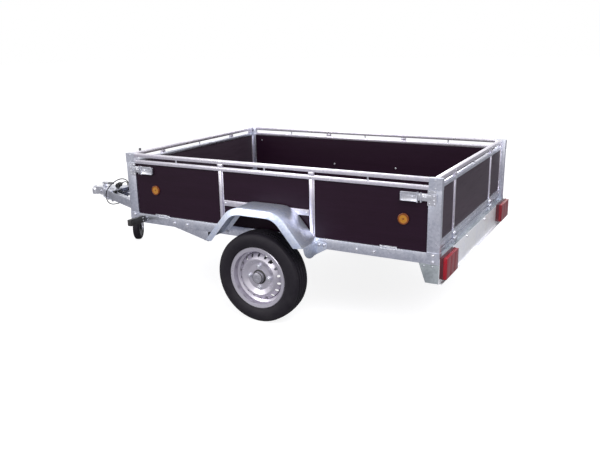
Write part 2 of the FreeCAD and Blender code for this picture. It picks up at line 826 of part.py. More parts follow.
def make_mudguard():
    """A folded arch with a leaning outer lip, a flange against the box and a flap at its rear foot."""
    t = guard_sheet
    y0 = half_width
    fold = half_width + guard_width - guard_lip_lean
    top = guard_block(0, y0, fold).cut(guard_block(t, y0, fold))
    flange = guard_block(0, y0, y0 + t).cut(guard_block(guard_flange, y0, y0 + t))
    band = Part.makeLoft([guard_outline(0, -guard_lip_lean), guard_outline(guard_lip, 0)], True, True)
    hollow = Part.makeLoft([guard_outline(t, -guard_lip_lean), guard_outline(guard_lip + t, 0)],
                           True, True)
    arch = fuse([top, flange, band.cut(hollow)])
    reach = guard_flat + guard_corner_radius + guard_rise
    deep = guard_rise
    for side, foot in ((1, guard_front_height), (-1, guard_rear_height)):
        x0 = axle_from_rear + min(0, side * reach)
        arch = arch.cut(block(x0, x0 + reach, y0 - t, y0 + guard_width + t, foot - deep, foot))
    angle = math.radians(guard_leg_angle)
    drop = guard_top - guard_corner_radius * (1 - math.cos(angle)) - guard_rear_height
    leg_foot = (axle_from_rear - guard_flat / 2 - guard_corner_radius * math.sin(angle)
                - drop / math.tan(angle))
    low = guard_rear_height - guard_flap_drop
    high = guard_rear_height + t
    toe = V(leg_foot, y0 + guard_flap_drop / 2, low)
    outer = V(leg_foot, fold - guard_lip_lean, high)
    bend = V(leg_foot, fold - guard_flap_drop / 2, low + guard_flap_drop / 3)
    inner = V(leg_foot, y0, high)
    heel = V(leg_foot, y0, low)
    rim = [Part.makeLine(inner, heel), Part.makeLine(heel, toe),
           Part.Arc(toe, bend, outer).toShape(), Part.makeLine(outer, inner)]
    flap = Part.Face(Part.Wire(rim)).extrude(V(2 * t, 0, 0))
    tail = leg_foot - guard_gusset_length
    gusset = prism_y([(leg_foot, high), (tail, high - guard_gusset_drop), (tail, beam_bottom),
                      (leg_foot, low)], y0, y0 + 2 * t)
    return fuse([arch, flap, gusset])


# Drawbar and coupling

def drawbar_y(x):
    """How far from the middle the centre line of an arm runs at place x."""
    return (drawbar_apex - x) * drawbar_slope


def make_drawbar_arm():
    """A hollow arm from the coupling back to the underside of the side beam."""
    half = drawbar_width / 2
    rear = drawbar_apex - (half_width - sheet - drawbar_edge) / drawbar_slope
    run = (drawbar_apex - rear) / drawbar_cosine + drawbar_width
    arm = tube_x(-drawbar_width, run, -half, half, drawbar_bottom, drawbar_top, drawbar_wall)
    arm.rotate(V(0, 0, 0), V(0, 0, 1), 180 - drawbar_half_angle)
    arm.translate(V(drawbar_apex, 0, 0))
    keep = block(rear, drawbar_front, 0, half_width, drawbar_bottom, drawbar_top)
    return arm.common(keep)


def make_head_plates():
    """The two plates over and under the arms that hold the coupling's shank."""
    rear = drawbar_y(head_plate_rear) + drawbar_edge
    waist = drawbar_y(drawbar_front) + drawbar_edge
    front = shank_width / 2 + head_plate_margin
    outline = [(head_plate_rear, -rear), (drawbar_front, -waist), (head_plate_front, -front),
               (head_plate_front, front), (drawbar_front, waist), (head_plate_rear, rear)]
    top = prism_z(outline, drawbar_top, drawbar_top + head_plate_thickness)
    bottom = prism_z(outline, drawbar_bottom - head_plate_thickness, drawbar_bottom)
    return [top, bottom]


def make_coupling():
    """A pressed head with a ball socket that is open underneath."""
    cup_radius = ball_radius + socket_fit + socket_wall
    cup_bottom = ball_height - ball_radius - cup_skirt
    half = shank_width / 2
    shank = block(shank_rear, shank_front, -half, half, drawbar_bottom, drawbar_top)
    neck = prism_y([(shank_front, drawbar_bottom), (ball_place, cup_bottom),
                    (ball_place, ball_height + cup_radius - cup_shoulder),
                    (shank_front, drawbar_top)],
                   -half, half)
    cup = rod(V(ball_place, 0, cup_bottom), V(0, 0, 1), ball_height - cup_bottom, cup_radius)
    dome = Part.makeSphere(cup_radius, V(ball_place, 0, ball_height))
    socket = Part.makeSphere(ball_radius + socket_fit, V(ball_place, 0, ball_height))
    mouth = rod(V(ball_place, 0, cup_bottom - cup_radius), V(0, 0, 1),
                ball_height - cup_bottom + cup_radius, ball_radius + socket_fit)
    keep = block(shank_rear, front_end, -cup_radius, cup_radius, cup_bottom,
                 ball_height + 2 * cup_radius)
    body = fuse([shank, neck, cup, dome]).common(fuse([keep, shank]))
    return body.cut(fuse([socket, mouth]))


def make_handle():
    """The lever on the coupling, with its stem on the neck and its grip to the rear."""
    half = handle_width / 2
    base = drawbar_top + head_plate_thickness
    top = drawbar_top + handle_rise
    rear = handle_front - handle_length
    stem_rear = handle_front - handle_stem
    stem = prism_y([(stem_rear, base), (handle_front, base), (handle_front, top),
                    (stem_rear - handle_lean, top)], -half, half)
    grip = block(rear, handle_front, -half, half, top - handle_bar, top)
    foot = block(head_plate_front, handle_front, -half, half, drawbar_top, base)
    return fuse([stem, grip, foot]).common(
        block(rear, handle_front, -half, half, drawbar_top, top))


# Jockey wheel

def jockey_centre():
    """The tube's centre, on the inner side of the right arm."""
    gap = (clamp_gap + jockey_tube_radius) / drawbar_cosine
    return V(jockey_place, -(drawbar_y(jockey_place) - drawbar_edge - gap), 0)


def make_jockey_clamp():
    """A split collar on a block that is bolted to the arm's inner face."""
    centre = jockey_centre()
    z0 = (drawbar_top + drawbar_bottom) / 2 - clamp_height / 2
    collar = rod(V(0, 0, z0), V(0, 0, 1), clamp_height, jockey_tube_radius + clamp_wall)
    tongue = block(-clamp_height / 2, clamp_height / 2,
                   -(clamp_gap + jockey_tube_radius), 0, z0, z0 + clamp_height)
    screw_end = jockey_tube_radius + clamp_wall + clamp_screw_length
    screw = rod(V(0, 0, z0 + clamp_height / 2), V(0, 1, 0), screw_end, clamp_screw_radius)
    bar = rod(V(-clamp_bar_length / 2, screw_end - clamp_bar_radius / 2, z0 + clamp_height / 2),
              V(1, 0, 0), clamp_bar_length, clamp_bar_radius)
    bore = rod(V(0, 0, z0), V(0, 0, 1), clamp_height, jockey_tube_radius + part_gap)
    shape = fuse([collar, tongue, screw, bar]).cut(bore)
    shape.rotate(V(0, 0, 0), V(0, 0, 1), drawbar_half_angle)
    shape.translate(centre)
    return shape


def make_jockey_tube():
    """The outer tube with its head and crank."""
    centre = jockey_centre()
    top = jockey_tube_bottom + jockey_tube_length
    outer = rod(V(0, 0, jockey_tube_bottom), V(0, 0, 1), jockey_tube_length, jockey_tube_radius)
    inner = rod(V(0, 0, jockey_tube_bottom), V(0, 0, 1),
                jockey_tube_length - jockey_tube_wall, jockey_tube_radius - jockey_tube_wall)
    spindle = rod(V(0, 0, top), V(0, 0, 1), crank_rise, crank_hub_radius)
    arm = rod(V(0, 0, top + crank_rise / 2), V(0, -1, 0), crank_length, crank_radius)
    grip = rod(V(0, -crank_length + crank_radius, top + crank_rise / 2 - crank_hub_radius),
               V(0, 0, 1), crank_grip, crank_grip_radius)
    shape = fuse([outer.cut(inner), spindle, arm, grip])
    shape.translate(centre)
    return shape


def make_jockey_leg():
    centre = jockey_centre()
    leg = rod(V(0, 0, fork_top), V(0, 0, 1), jockey_inner_length, jockey_inner_radius)
    leg.translate(centre)
    return leg


def place_on_swivel(shape):
    shape.rotate(V(0, 0, 0), V(0, 0, 1), jockey_turn)
    shape.translate(jockey_centre())
    return shape


def make_jockey_fork():
    """Two legs and a curved cover over the small wheel, trailing behind the tube."""
    inside = jockey_wheel_width / 2 + fork_gap
    outside = inside + fork_plate
    top = fork_top - part_gap
    reach = fork_cover_length / 2
    shapes = [block(jockey_trail - reach, jockey_trail + reach, -outside, outside,
                    top - fork_plate, top)]
    half = fork_leg_width / 2
    for y in (-outside, inside):
        leg = fuse([
            prism_y([(jockey_trail - reach, top), (jockey_trail + reach, top),
                     (jockey_trail + half, jockey_wheel_radius),
                     (jockey_trail - half, jockey_wheel_radius)], y, y + fork_plate),
            rod(V(jockey_trail, y, jockey_wheel_radius), V(0, 1, 0), fork_plate, half)])
        shapes.append(leg)
    axle_end = outside + jockey_axle_out
    shapes.append(rod(V(jockey_trail, -axle_end, jockey_wheel_radius), V(0, 1, 0),
                      2 * axle_end, jockey_axle_radius))
    return place_on_swivel(fuse(shapes))


def make_jockey_wheel():
    """A solid rubber tyre on a narrow hub, bored for the fork's axle."""
    half = jockey_wheel_width / 2
    r = jockey_wheel_radius
    centre = V(jockey_trail, 0, r)
    face = [(half, jockey_axle_radius + jockey_axle_fit), (half, jockey_boss_radius),
            (half - jockey_dish, jockey_boss_radius + jockey_boss_rise)]
    face += [(half - inwards, r - down) for inwards, down in jockey_tyre_profile]
    back = [(-y, radius) for y, radius in reversed(face)]
    return place_on_swivel(revolve_y(face + back, centre))


# Electric cable

def cable_points():
    """The route's corners, spread sideways with the drawbar's arms."""
    first_x, first_y, first_z = cable_route[0]
    spread = -first_x * drawbar_slope / first_y
    return [V(drawbar_apex + x, y * spread, drawbar_top + z) for x, y, z in cable_route]


def make_cable():
    """Straight runs joined by tangent arcs, as one round rope of rubber."""
    points = cable_points()
    start = points[0]
    edges = []
    radii = []
    for before, corner, after in zip(points, points[1:], points[2:]):
        first = (corner - before).normalize()
        second = (after - corner).normalize()
        half_turn = first.getAngle(second) / 2
        cut_back = cable_bend_share * min((corner - before).Length, (after - corner).Length)
        radius = cut_back / math.tan(half_turn)
        inwards = (second - first).normalize()
        centre = corner + inwards * (radius / math.cos(half_turn))
        enter = corner - first * cut_back
        leave = corner + second * cut_back
        edges.append(Part.makeLine(start, enter))
        edges.append(Part.Arc(enter, centre - inwards * radius, leave).toShape())
        radii.append(radius)
        start = leave
    edges.append(Part.makeLine(start, points[-1]))
    path = Part.Wire(edges)
    ring = Part.Wire([Part.makeCircle(cable_radius, points[0], points[1] - points[0])])
    cable = path.makePipeShell([ring], True, False)
    print("cable bends: smallest radius %.1f, all: %s"
          % (min(radii), ", ".join("%.0f" % radius for radius in radii)))
    print("cable length %.1f, volume %.0f, section times length %.0f"
          % (path.Length, cable.Volume, math.pi * cable_radius ** 2 * path.Length))
    return cable


def make_cable_gland():
    """A rubber block on top of the left arm, with a nose that the cable comes out of."""
    first, second = cable_points()[:2]
    along = (second - first).normalize()
    start = first - along * gland_profile[-1][0]
    nose = turned(gland_profile, start, along)
    base = block(-gland_base_length / 2, gland_base_length / 2, -gland_base_width / 2,
                 gland_base_width / 2, drawbar_top, drawbar_top + gland_base_height)
    base.rotate(V(0, 0, 0), V(0, 0, 1), -drawbar_half_angle)
    base.translate(V(start.x, start.y, 0))
    return fuse([base, nose])


def make_cable_plug():
    before, last = cable_points()[-2:]
    return turned(plug_profile, last, last - before)


# Lights

def make_light_board():
    """A folded sheet across the tail with tapered sides and a lip along its foot."""
    back = -post_overhang
    face = back - board_sheet
    main = block(face, back, -half_width, half_width, board_bottom, board_top)
    top = block(back, 0, -post_inner, post_inner, board_top - board_sheet, board_top)
    lip = block(face - board_lip, back, -half_width, half_width,
                board_bottom, board_bottom + board_sheet)
    side = prism_y([(face, board_bottom), (board_side_bottom, board_bottom),
                    (board_side_top, beam_bottom), (face, beam_bottom)],
                   half_width - board_sheet, half_width)
    return fuse([main, top, lip] + both_sides(side))


def make_tail_lamp():
    """The red lens of one tail lamp, in front of its black base."""
    face = -post_overhang - board_sheet - lamp_base
    y1 = half_width - board_sheet
    lens = block(face - lamp_depth + lamp_base, face, y1 - lamp_width, y1,
                 lamp_bottom, lamp_bottom + lamp_height)
    return lens.makeFillet(lamp_corner, [e for e in lens.Edges if e.BoundBox.XLength < 0.01
                                 and e.BoundBox.XMin < face - 1])


def make_tail_lamp_base():
    face = -post_overhang - board_sheet
    y1 = half_width - board_sheet
    return block(face - lamp_base, face, y1 - lamp_width, y1,
                 lamp_bottom, lamp_bottom + lamp_height)


def make_front_lamp():
    """A black bracket that sticks out past the beam."""
    return block(front_lamp_place - front_lamp_depth / 2, front_lamp_place + front_lamp_depth / 2,
                 half_width, half_width + front_lamp_reach,
                 front_lamp_bottom, front_lamp_bottom + front_lamp_height)


def make_front_lens():
    x0 = front_lamp_place + front_lamp_depth / 2
    margin = front_lens_margin
    return block(x0, x0 + front_lens_depth, half_width + front_lens_from_beam,
                 half_width + front_lamp_reach - margin, front_lamp_bottom + margin,
                 front_lamp_bottom + front_lamp_height - margin)


# Build the trailer piece by piece
half_span = side_upright_spacing / 2
upright_places = (box_length / 2 - half_span, box_length / 2 + half_span)
uprights = []
for place in upright_places:
    for solid in make_side_upright(place):
        uprights += both_sides(solid)
clips = []
for place in clip_places:
    clips += both_sides(make_clip(place))
reflectors = []
for place in reflector_places:
    reflectors += both_sides(make_reflector(place))
hinges = []
for place in (-gate_upright_spacing / 2, gate_upright_spacing / 2):
    hinges.append(make_hinge_bracket(place))
    hinges.append(to_front(make_hinge_bracket(place)))

save("side_beams", both_sides(make_side_beam()))
save("rear_beam", [make_end_beam()])
save("front_beam", [to_front(make_end_beam())])
save("cross_members", [make_cross_member(place) for place in cross_member_places])
save("floor_panel", [make_floor()])
save("corner_posts", four_corners(make_post()))
save("side_panels", both_sides(make_side_panel()))
save("side_lower_rails", both_sides(make_side_lower_rail()))
save("side_top_rails", both_sides(make_side_top_rail()))
save("side_uprights", uprights)
save("side_braces", both_sides(make_brace()))
save("panel_clips", clips)
save("side_reflectors", reflectors)
save("latches", four_corners(make_latch()))
save("gate_hinges", hinges)
for name, turn in (("tailgate", None), ("front_gate", to_front)):
    for piece, make in (("panel", make_gate_panel), ("bottom_rail", make_gate_bottom_rail),
                        ("lower_rail", make_gate_lower_rail), ("top_rail", make_gate_top_rail)):
        shape = make()
        save("%s_%s" % (name, piece), [turn(shape) if turn else shape])
    solids = make_gate_uprights()
    save("%s_uprights" % name, [turn(solid) if turn else solid for solid in solids])
for name, turn in (("left", None), ("right", to_right)):
    for piece, make in (("tyre", make_tyre), ("rim", make_rim), ("hub", make_hub)):
        shape = make()
        save("%s_%s" % (piece, name), [turn(shape) if turn else shape])
save("axle_tube", [make_axle_tube()])
save("axle_brackets", both_sides(make_axle_bracket()))
save("swing_arms", both_sides(make_swing_arm()))
save("mudguards", both_sides(make_mudguard()))
save("drawbar_arms", both_sides(make_drawbar_arm()))
save("drawbar_head_plates", make_head_plates())
save("coupling_head", [make_coupling()])
save("coupling_handle", [make_handle()])
save("jockey_clamp", [make_jockey_clamp()])
save("jockey_outer_tube", [make_jockey_tube()])
save("jockey_inner_tube", [make_jockey_leg()])
save("jockey_fork", [make_jockey_fork()])
save("jockey_wheel", [make_jockey_wheel()])
save("cable", [make_cable()])
save("cable_gland", [make_cable_gland()])
save("cable_plug", [make_cable_plug()])
save("light_board", [make_light_board()])
save("tail_lamps", both_sides(make_tail_lamp()))
save("tail_lamp_bases", both_sides(make_tail_lamp_base()))
save("front_lamps", both_sides(make_front_lamp()))
save("front_lamp_lenses", both_sides(make_front_lens()))

print("origin lies at x = %.1f from the tailgate's face" % middle)
print("jockey tube at x %.1f, y %.1f" % (jockey_centre().x - middle, jockey_centre().y))
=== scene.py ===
import json
import math

import bmesh
import bpy
from mathutils import Matrix, Vector

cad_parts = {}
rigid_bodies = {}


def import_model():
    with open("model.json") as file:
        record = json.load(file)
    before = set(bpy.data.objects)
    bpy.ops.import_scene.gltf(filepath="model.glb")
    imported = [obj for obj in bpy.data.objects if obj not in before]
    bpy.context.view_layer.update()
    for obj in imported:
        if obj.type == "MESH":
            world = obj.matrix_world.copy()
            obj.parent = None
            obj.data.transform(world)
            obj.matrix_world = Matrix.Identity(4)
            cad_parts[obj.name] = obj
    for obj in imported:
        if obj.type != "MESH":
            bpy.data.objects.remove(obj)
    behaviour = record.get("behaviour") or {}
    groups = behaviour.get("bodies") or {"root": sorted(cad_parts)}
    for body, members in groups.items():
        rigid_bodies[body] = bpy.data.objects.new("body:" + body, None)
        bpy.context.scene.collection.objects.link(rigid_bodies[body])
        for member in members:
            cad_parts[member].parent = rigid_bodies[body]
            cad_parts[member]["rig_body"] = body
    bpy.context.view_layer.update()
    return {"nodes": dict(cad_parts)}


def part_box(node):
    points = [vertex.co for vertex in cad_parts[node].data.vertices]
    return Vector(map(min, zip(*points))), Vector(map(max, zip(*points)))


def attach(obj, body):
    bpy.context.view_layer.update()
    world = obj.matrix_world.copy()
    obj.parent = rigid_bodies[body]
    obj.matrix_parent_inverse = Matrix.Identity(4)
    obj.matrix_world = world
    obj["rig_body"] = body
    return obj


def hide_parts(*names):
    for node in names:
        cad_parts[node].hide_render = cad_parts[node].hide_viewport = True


# A utility trailer: galvanised frame, dark film-faced plywood, one axle, a V drawbar on its jockey wheel.
# Metres, in the frame's own axes: X to the coupling, Y to the left, Z up from the ground.

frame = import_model()
scene = bpy.context.scene
scene.view_settings.view_transform = "Standard"

UP = Vector((0, 0, 1))
LEFT = Vector((0, 1, 0))
AHEAD = Vector((1, 0, 0))
WHITE = (1, 1, 1, 1)

# Places read from the frame
beam_low, beam_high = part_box("side_beams")
post_low, post_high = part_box("corner_posts")
tyre_low, tyre_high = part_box("tyre_left")
rim_low, rim_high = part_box("rim_left")
arms_low, arms_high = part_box("drawbar_arms")
plate_low, plate_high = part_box("drawbar_head_plates")
board_low, board_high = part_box("light_board")
brace_low, brace_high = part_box("side_braces")
floor_low, floor_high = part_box("floor_panel")
latch_low, latch_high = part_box("latches")
reflector_low, reflector_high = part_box("side_reflectors")
upright_low, upright_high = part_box("side_uprights")
upper_rail_low, upper_rail_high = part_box("side_top_rails")
lower_rail_low, lower_rail_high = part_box("side_lower_rails")
bracket_low, bracket_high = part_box("axle_brackets")
axle_low, axle_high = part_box("axle_tube")
lens_low, lens_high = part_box("tail_lamps")
lamp_low, lamp_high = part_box("front_lamps")
front_lens_low, front_lens_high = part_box("front_lamp_lenses")
coupling_low, coupling_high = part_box("coupling_head")
lever_low, lever_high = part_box("coupling_handle")
leg_low, leg_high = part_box("jockey_inner_tube")
caster_low, caster_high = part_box("jockey_wheel")
guard_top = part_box("mudguards")[1].z
clip_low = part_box("panel_clips")[0]
jack_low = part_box("jockey_outer_tube")[0]
tail_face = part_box("rear_beam")[0].x
head_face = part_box("front_beam")[1].x
half_width = beam_high.y
wheel_centre = (tyre_low + tyre_high) / 2
tyre_radius = (tyre_high.z - tyre_low.z) / 2
tyre_half = (tyre_high.y - tyre_low.y) / 2


# Camera, at the photograph's angle

CAMERA_FROM_TAIL = -0.957875
CAMERA_PLACE = Vector((tail_face + CAMERA_FROM_TAIL, 3.885666, 1.583928))
CAMERA_YAW = 0.510921
CAMERA_PITCH = 0.271545
CAMERA_ROLL = -0.019829
CAMERA_LENS = 38.923
SENSOR_WIDTH = 36.0


def make_camera():
    ahead = Vector((math.sin(CAMERA_YAW) * math.cos(CAMERA_PITCH),
                    -math.cos(CAMERA_YAW) * math.cos(CAMERA_PITCH),
                    -math.sin(CAMERA_PITCH)))
    level = ahead.cross(UP).normalized()
    upright = level.cross(ahead)
    right = math.cos(CAMERA_ROLL) * level + math.sin(CAMERA_ROLL) * upright
    top = math.cos(CAMERA_ROLL) * upright - math.sin(CAMERA_ROLL) * level
    data = bpy.data.cameras.new("camera")
    data.lens = CAMERA_LENS
    data.sensor_width = SENSOR_WIDTH
    camera = bpy.data.objects.new("camera", data)
    scene.collection.objects.link(camera)
    turn = Matrix((right, top, -ahead)).transposed().to_4x4()
    camera.matrix_world = Matrix.Translation(CAMERA_PLACE) @ turn
    scene.camera = camera


# Shader nodes

def connect(tree, value, socket):
    """Links an output to a socket, or sets a constant on it."""
    if isinstance(value, bpy.types.NodeSocket):
        tree.links.new(value, socket)
    else:
        socket.default_value = value


def add_node(tree, kind, inputs, **settings):
    """A node with its settings, and what goes into its inputs."""
    node = tree.nodes.new("ShaderNode" + kind)
    for label, value in settings.items():
        setattr(node, label, value)
    for key, value in inputs.items():
        connect(tree, value, node.inputs[key])
    return node


def add_math(tree, operation, first, second):
    return add_node(tree, "Math", {0: first, 1: second}, operation=operation).outputs[0]


def add_range(tree, value, from_low, from_high, to_low, to_high):
    inputs = {"Value": value, "From Min": from_low, "From Max": from_high,
              "To Min": to_low, "To Max": to_high}
    return add_node(tree, "MapRange", inputs).outputs["Result"]


def add_share(tree, value, low, high, share):
    """How far value is from low to high, as a share of a sum."""
    return add_math(tree, "MULTIPLY", add_range(tree, value, low, high, 0.0, 1.0), share)


def add_mix(tree, factor, first, second):
    """Two colours mixed; Blender numbers the colour sockets of this node 6 and 7."""
    return add_node(tree, "Mix", {0: factor, 6: first, 7: second}, data_type="RGBA").outputs[2]


def add_noise(tree, vector, scale, detail=3.0, roughness=0.5):
    inputs = {"Vector": vector, "Scale": scale, "Detail": detail, "Roughness": roughness}
    return add_node(tree, "TexNoise", inputs).outputs["Fac"]


def add_cells(tree, vector, scale):
    """The distance from the borders of a regular pattern of cells."""
    inputs = {"Vector": vector, "Scale": scale, "Randomness": 0.0}
    return add_node(tree, "TexVoronoi", inputs, feature="DISTANCE_TO_EDGE").outputs["Distance"]


def stretched(tree, vector, scale):
    return add_node(tree, "Mapping", {"Vector": vector, "Scale": scale}).outputs["Vector"]


# Floor, world and lamps

FLOOR_REACH = 60.0
FLOOR_COLOUR = (0.36, 0.36, 0.385, 1)
FLOOR_GLOW = 0.85
WORLD_LIGHT = 0.55
# Name, place, aim, width and watts of each square lamp
SOFT_LAMPS = (
    ("key_light", (-3.2, 2.6, 4.2), (0, 0, 0.5), 3.5, 190),
    ("side_light", (2.2, 5.0, 2.6), (0.4, 0.5, 0.4), 3.0, 90),
    ("back_light", (1.5, -4.5, 3.5), (0, 0, 0.6), 3.0, 70))


def seen_directly(tree, *others):
    """1 for rays from the camera or through glass, and for the other rays that are named."""
    path = tree.nodes.new("ShaderNodeLightPath")
    seen = path.outputs["Is Camera Ray"]
    for label in ("Is Transmission Ray", *others):
        seen = add_math(tree, "MAXIMUM", seen, path.outputs[label])
    return seen


def make_world():
    """White where it is seen, and dimmer as a light."""
    world = bpy.data.worlds.new("studio")
    world.use_nodes = True
    tree = world.node_tree
    background = tree.nodes["Background"].inputs
    background["Color"].default_value = WHITE
    seen = seen_directly(tree, "Is Glossy Ray")
    connect(tree, add_range(tree, seen, 0.0, 1.0, WORLD_LIGHT, 1.0), background["Strength"])
    scene.world = world


def make_floor():
    """A wide floor that glows where it is seen, so that it meets the white world."""
    bm = bmesh.new()
    bmesh.ops.create_grid(bm, x_segments=1, y_segments=1, size=FLOOR_REACH)
    mesh = bpy.data.meshes.new("studio_floor")
    bm.to_mesh(mesh)
    bm.free()
    floor = bpy.data.objects.new("studio_floor", mesh)
    scene.collection.objects.link(floor)
    finish, tree, shader = new_finish(
        "studio_floor", Base_Color=FLOOR_COLOUR, Roughness=1.0, Specular_IOR_Level=0.0,
        Emission_Color=WHITE)
    glow = add_math(tree, "MULTIPLY", seen_directly(tree), FLOOR_GLOW)
    connect(tree, glow, shader["Emission Strength"])
    mesh.materials.append(finish)


def make_lamps():
    for name, place, aim, width, watts in SOFT_LAMPS:
        data = bpy.data.lights.new(name, "AREA")
        data.shape = "RECTANGLE"
        data.size = data.size_y = width
        data.energy = watts
        lamp = bpy.data.objects.new(name, data)
        scene.collection.objects.link(lamp)
        lamp.location = place
        lamp.rotation_mode = "QUATERNION"
        lamp.rotation_quaternion = (Vector(aim) - Vector(place)).to_track_quat("-Z", "Y")


# Effects that several finishes share

SURFACE = {"Color": "Color", "Roughness": "Float", "Height": "Float"}


def new_group(name, inputs, outputs):
    """A node group with its labelled sockets, which are given by kind."""
    group = bpy.data.node_groups.new(name, "ShaderNodeTree")
    for way, sockets in (("INPUT", inputs), ("OUTPUT", outputs)):
        for label, kind in sockets.items():
            group.interface.new_socket(label, in_out=way, socket_type="NodeSocket" + kind)
    entry = group.nodes.new("NodeGroupInput")
    result = group.nodes.new("NodeGroupOutput")
    return group, entry.outputs, result.inputs


def use_group(tree, group, vector, **values):
    return add_node(tree, "Group", {"Vector": vector, **values}, node_tree=group).outputs


def make_spangle_group():
    """The mottled crystals, dull patches and faint runs of a zinc coat."""
    group, given, result = new_group("zinc spangle", {
        "Vector": "Vector", "Light": "Color", "Dull": "Color", "Gloss": "Float", "Crystal": "Float"},
        SURFACE)
    vector = given["Vector"]
    crystals = add_node(group, "TexVoronoi", {"Vector": vector, "Scale": given["Crystal"]}, feature="F1")
    tint = add_node(group, "SeparateColor", {"Color": crystals.outputs["Color"]}).outputs
    patches = add_noise(group, vector, 5.0, 4.0, 0.6)
    runs = add_noise(group, stretched(group, vector, (22.0, 22.0, 1.6)), 1.0, 2.0)
    mottle = add_math(group, "MULTIPLY", tint["Red"], 0.35)
    mottle = add_math(group, "ADD", mottle, add_share(group, patches, 0.3, 0.7, 0.4))
    mottle = add_math(group, "ADD", mottle, add_share(group, runs, 0.35, 0.65, 0.25))
    dullness = add_math(group, "MULTIPLY", add_math(group, "SUBTRACT", 1.0, mottle), 0.22)
    height = add_math(group, "ADD", add_math(group, "MULTIPLY", tint["Green"], 0.3),
                      add_noise(group, vector, 240.0, 2.0))
    connect(group, add_mix(group, mottle, given["Dull"], given["Light"]), result["Color"])
    connect(group, add_math(group, "ADD", given["Gloss"], dullness), result["Roughness"])
    connect(group, height, result["Height"])
    return group


def make_dust_group():
    """Road dust in patches, that thins out between two heights."""
    group, given, result = new_group("road dust", {
        "Vector": "Vector", "Amount": "Float", "Scale": "Float", "Low": "Float", "High": "Float"},
        {"Mask": "Float", "Height": "Float"})
    vector = given["Vector"]
    patches = add_range(group, add_noise(group, vector, given["Scale"], 6.0, 0.65), 0.35, 0.75, 0.0, 1.0)
    height = add_node(group, "SeparateXYZ", {"Vector": vector}).outputs["Z"]
    lowness = add_range(group, height, given["Low"], given["High"], 1.0, 0.25)
    mask = add_math(group, "MULTIPLY", patches, lowness)
    connect(group, add_math(group, "MULTIPLY", mask, given["Amount"]), result["Mask"])
    connect(group, add_noise(group, vector, 900.0, 2.0), result["Height"])
    return group


def make_ply_group():
    """The faint streaks of veneer under a dark phenolic film, with small scuffs."""
    group, given, result = new_group("film-faced ply", {
        "Vector": "Vector", "Dark": "Color", "Pale": "Color", "Gloss": "Float"}, SURFACE)
    vector = given["Vector"]
    fine = add_noise(group, vector, 9.0, 5.0, 0.62)
    broad = add_noise(group, vector, 1.4)
    tone = add_math(group, "ADD", add_share(group, fine, 0.3, 0.7, 0.55),
                    add_share(group, broad, 0.3, 0.7, 0.45))
    scuffs = add_range(group, add_noise(group, vector, 3.0, 8.0, 0.75), 0.55, 0.75, 0.0, 0.16)
    connect(group, add_mix(group, tone, given["Dark"], given["Pale"]), result["Color"])
    connect(group, add_math(group, "ADD", given["Gloss"], scuffs), result["Roughness"])
    connect(group, fine, result["Height"])
    return group


# Finishes

def new_finish(name, **constants):
    """A material, its nodes and its shader's inputs, with constants on some of them."""
    finish = bpy.data.materials.new(name)
    finish.use_nodes = True
    tree = finish.node_tree
    shader = tree.nodes["Principled BSDF"].inputs
    for label, value in constants.items():
        shader[label.replace("_", " ")].default_value = value
    return finish, tree, shader


def own_place(tree):
    """The object's own coordinates."""
    return tree.nodes.new("ShaderNodeTexCoord").outputs["Object"]


def coat(tree, shader, colour, roughness, height, strength, distance):
    """Gives the shader its colour, its roughness and a bump of the height."""
    bump = add_node(tree, "Bump", {"Height": height, "Strength": strength, "Distance": distance})
    connect(tree, colour, shader["Base Color"])
    connect(tree, roughness, shader["Roughness"])
    connect(tree, bump.outputs["Normal"], shader["Normal"])


def dusted(tree, mask, tone, gloss, dust_tone, dust_gloss):
    """A colour and a roughness under dust."""
    roughness = add_math(tree, "ADD", gloss, add_math(tree, "MULTIPLY", mask, dust_gloss))
    return add_mix(tree, mask, tone, dust_tone), roughness


def make_zinc(name, light, dull, gloss, crystal, metallic, bump):
    finish, tree, shader = new_finish(name, Metallic=metallic)
    vector = own_place(tree)
    zinc = use_group(tree, spangle, vector, Light=light, Dull=dull, Gloss=gloss, Crystal=crystal)
    coat(tree, shader, zinc["Color"], zinc["Roughness"], zinc["Height"], bump, 0.0006)
    return finish


def make_board_zinc():
    """Smooth zinc sheet on the light board, painted light on its face and painted shade on its side
    plates and lip.
    """
    finish, tree, shader = new_finish("smooth zinc sheet", Metallic=0.5)
    vector = own_place(tree)
    face = use_group(tree, spangle, vector, Light=WHITE, Dull=(0.78, 0.79, 0.88, 1), Gloss=0.28,
                     Crystal=60.0)
    # The side plates and lip: the same zinc in darker colours, as painted shade.
    plate = use_group(tree, spangle, vector, Light=(0.5, 0.54, 0.57, 1), Dull=(0.24, 0.27, 0.29, 1),
                      Gloss=0.3, Crystal=80.0)
    # Mask of the painted shade: 0 on the painted-light face, 1 on the shaded side plates and lip behind
    # it.
    depth = add_node(tree, "SeparateXYZ", {"Vector": vector}).outputs["X"]
    behind = add_range(tree, depth, board_low.x + 0.0155, board_low.x + 0.018, 0.0, 1.0)
    colour = add_mix(tree, behind, face["Color"], plate["Color"])
    coat(tree, shader, colour, face["Roughness"], face["Height"], 0.04, 0.0006)
    return finish


def make_ply(name, stretch, dark, pale, gloss):
    finish, tree, shader = new_finish(name, Specular_IOR_Level=0.16)
    vector = own_place(tree)
    board = use_group(tree, ply, stretched(tree, vector, stretch), Dark=dark, Pale=pale, Gloss=gloss)
    coat(tree, shader, board["Color"], board["Roughness"], board["Height"], 0.12, 0.0006)
    return finish


def make_floor_ply():
    """The floor's film has a fine pressed mesh for grip."""
    finish, tree, shader = new_finish("ribbed floor ply", Specular_IOR_Level=0.4)
    vector = own_place(tree)
    board = use_group(tree, ply, stretched(tree, vector, (1.0, 5.0, 5.0)),
                      Dark=(0.016, 0.009, 0.011, 1), Pale=(0.045, 0.026, 0.03, 1), Gloss=0.42)
    coat(tree, shader, board["Color"], board["Roughness"], add_cells(tree, vector, 160.0), 0.6, 0.002)
    return finish


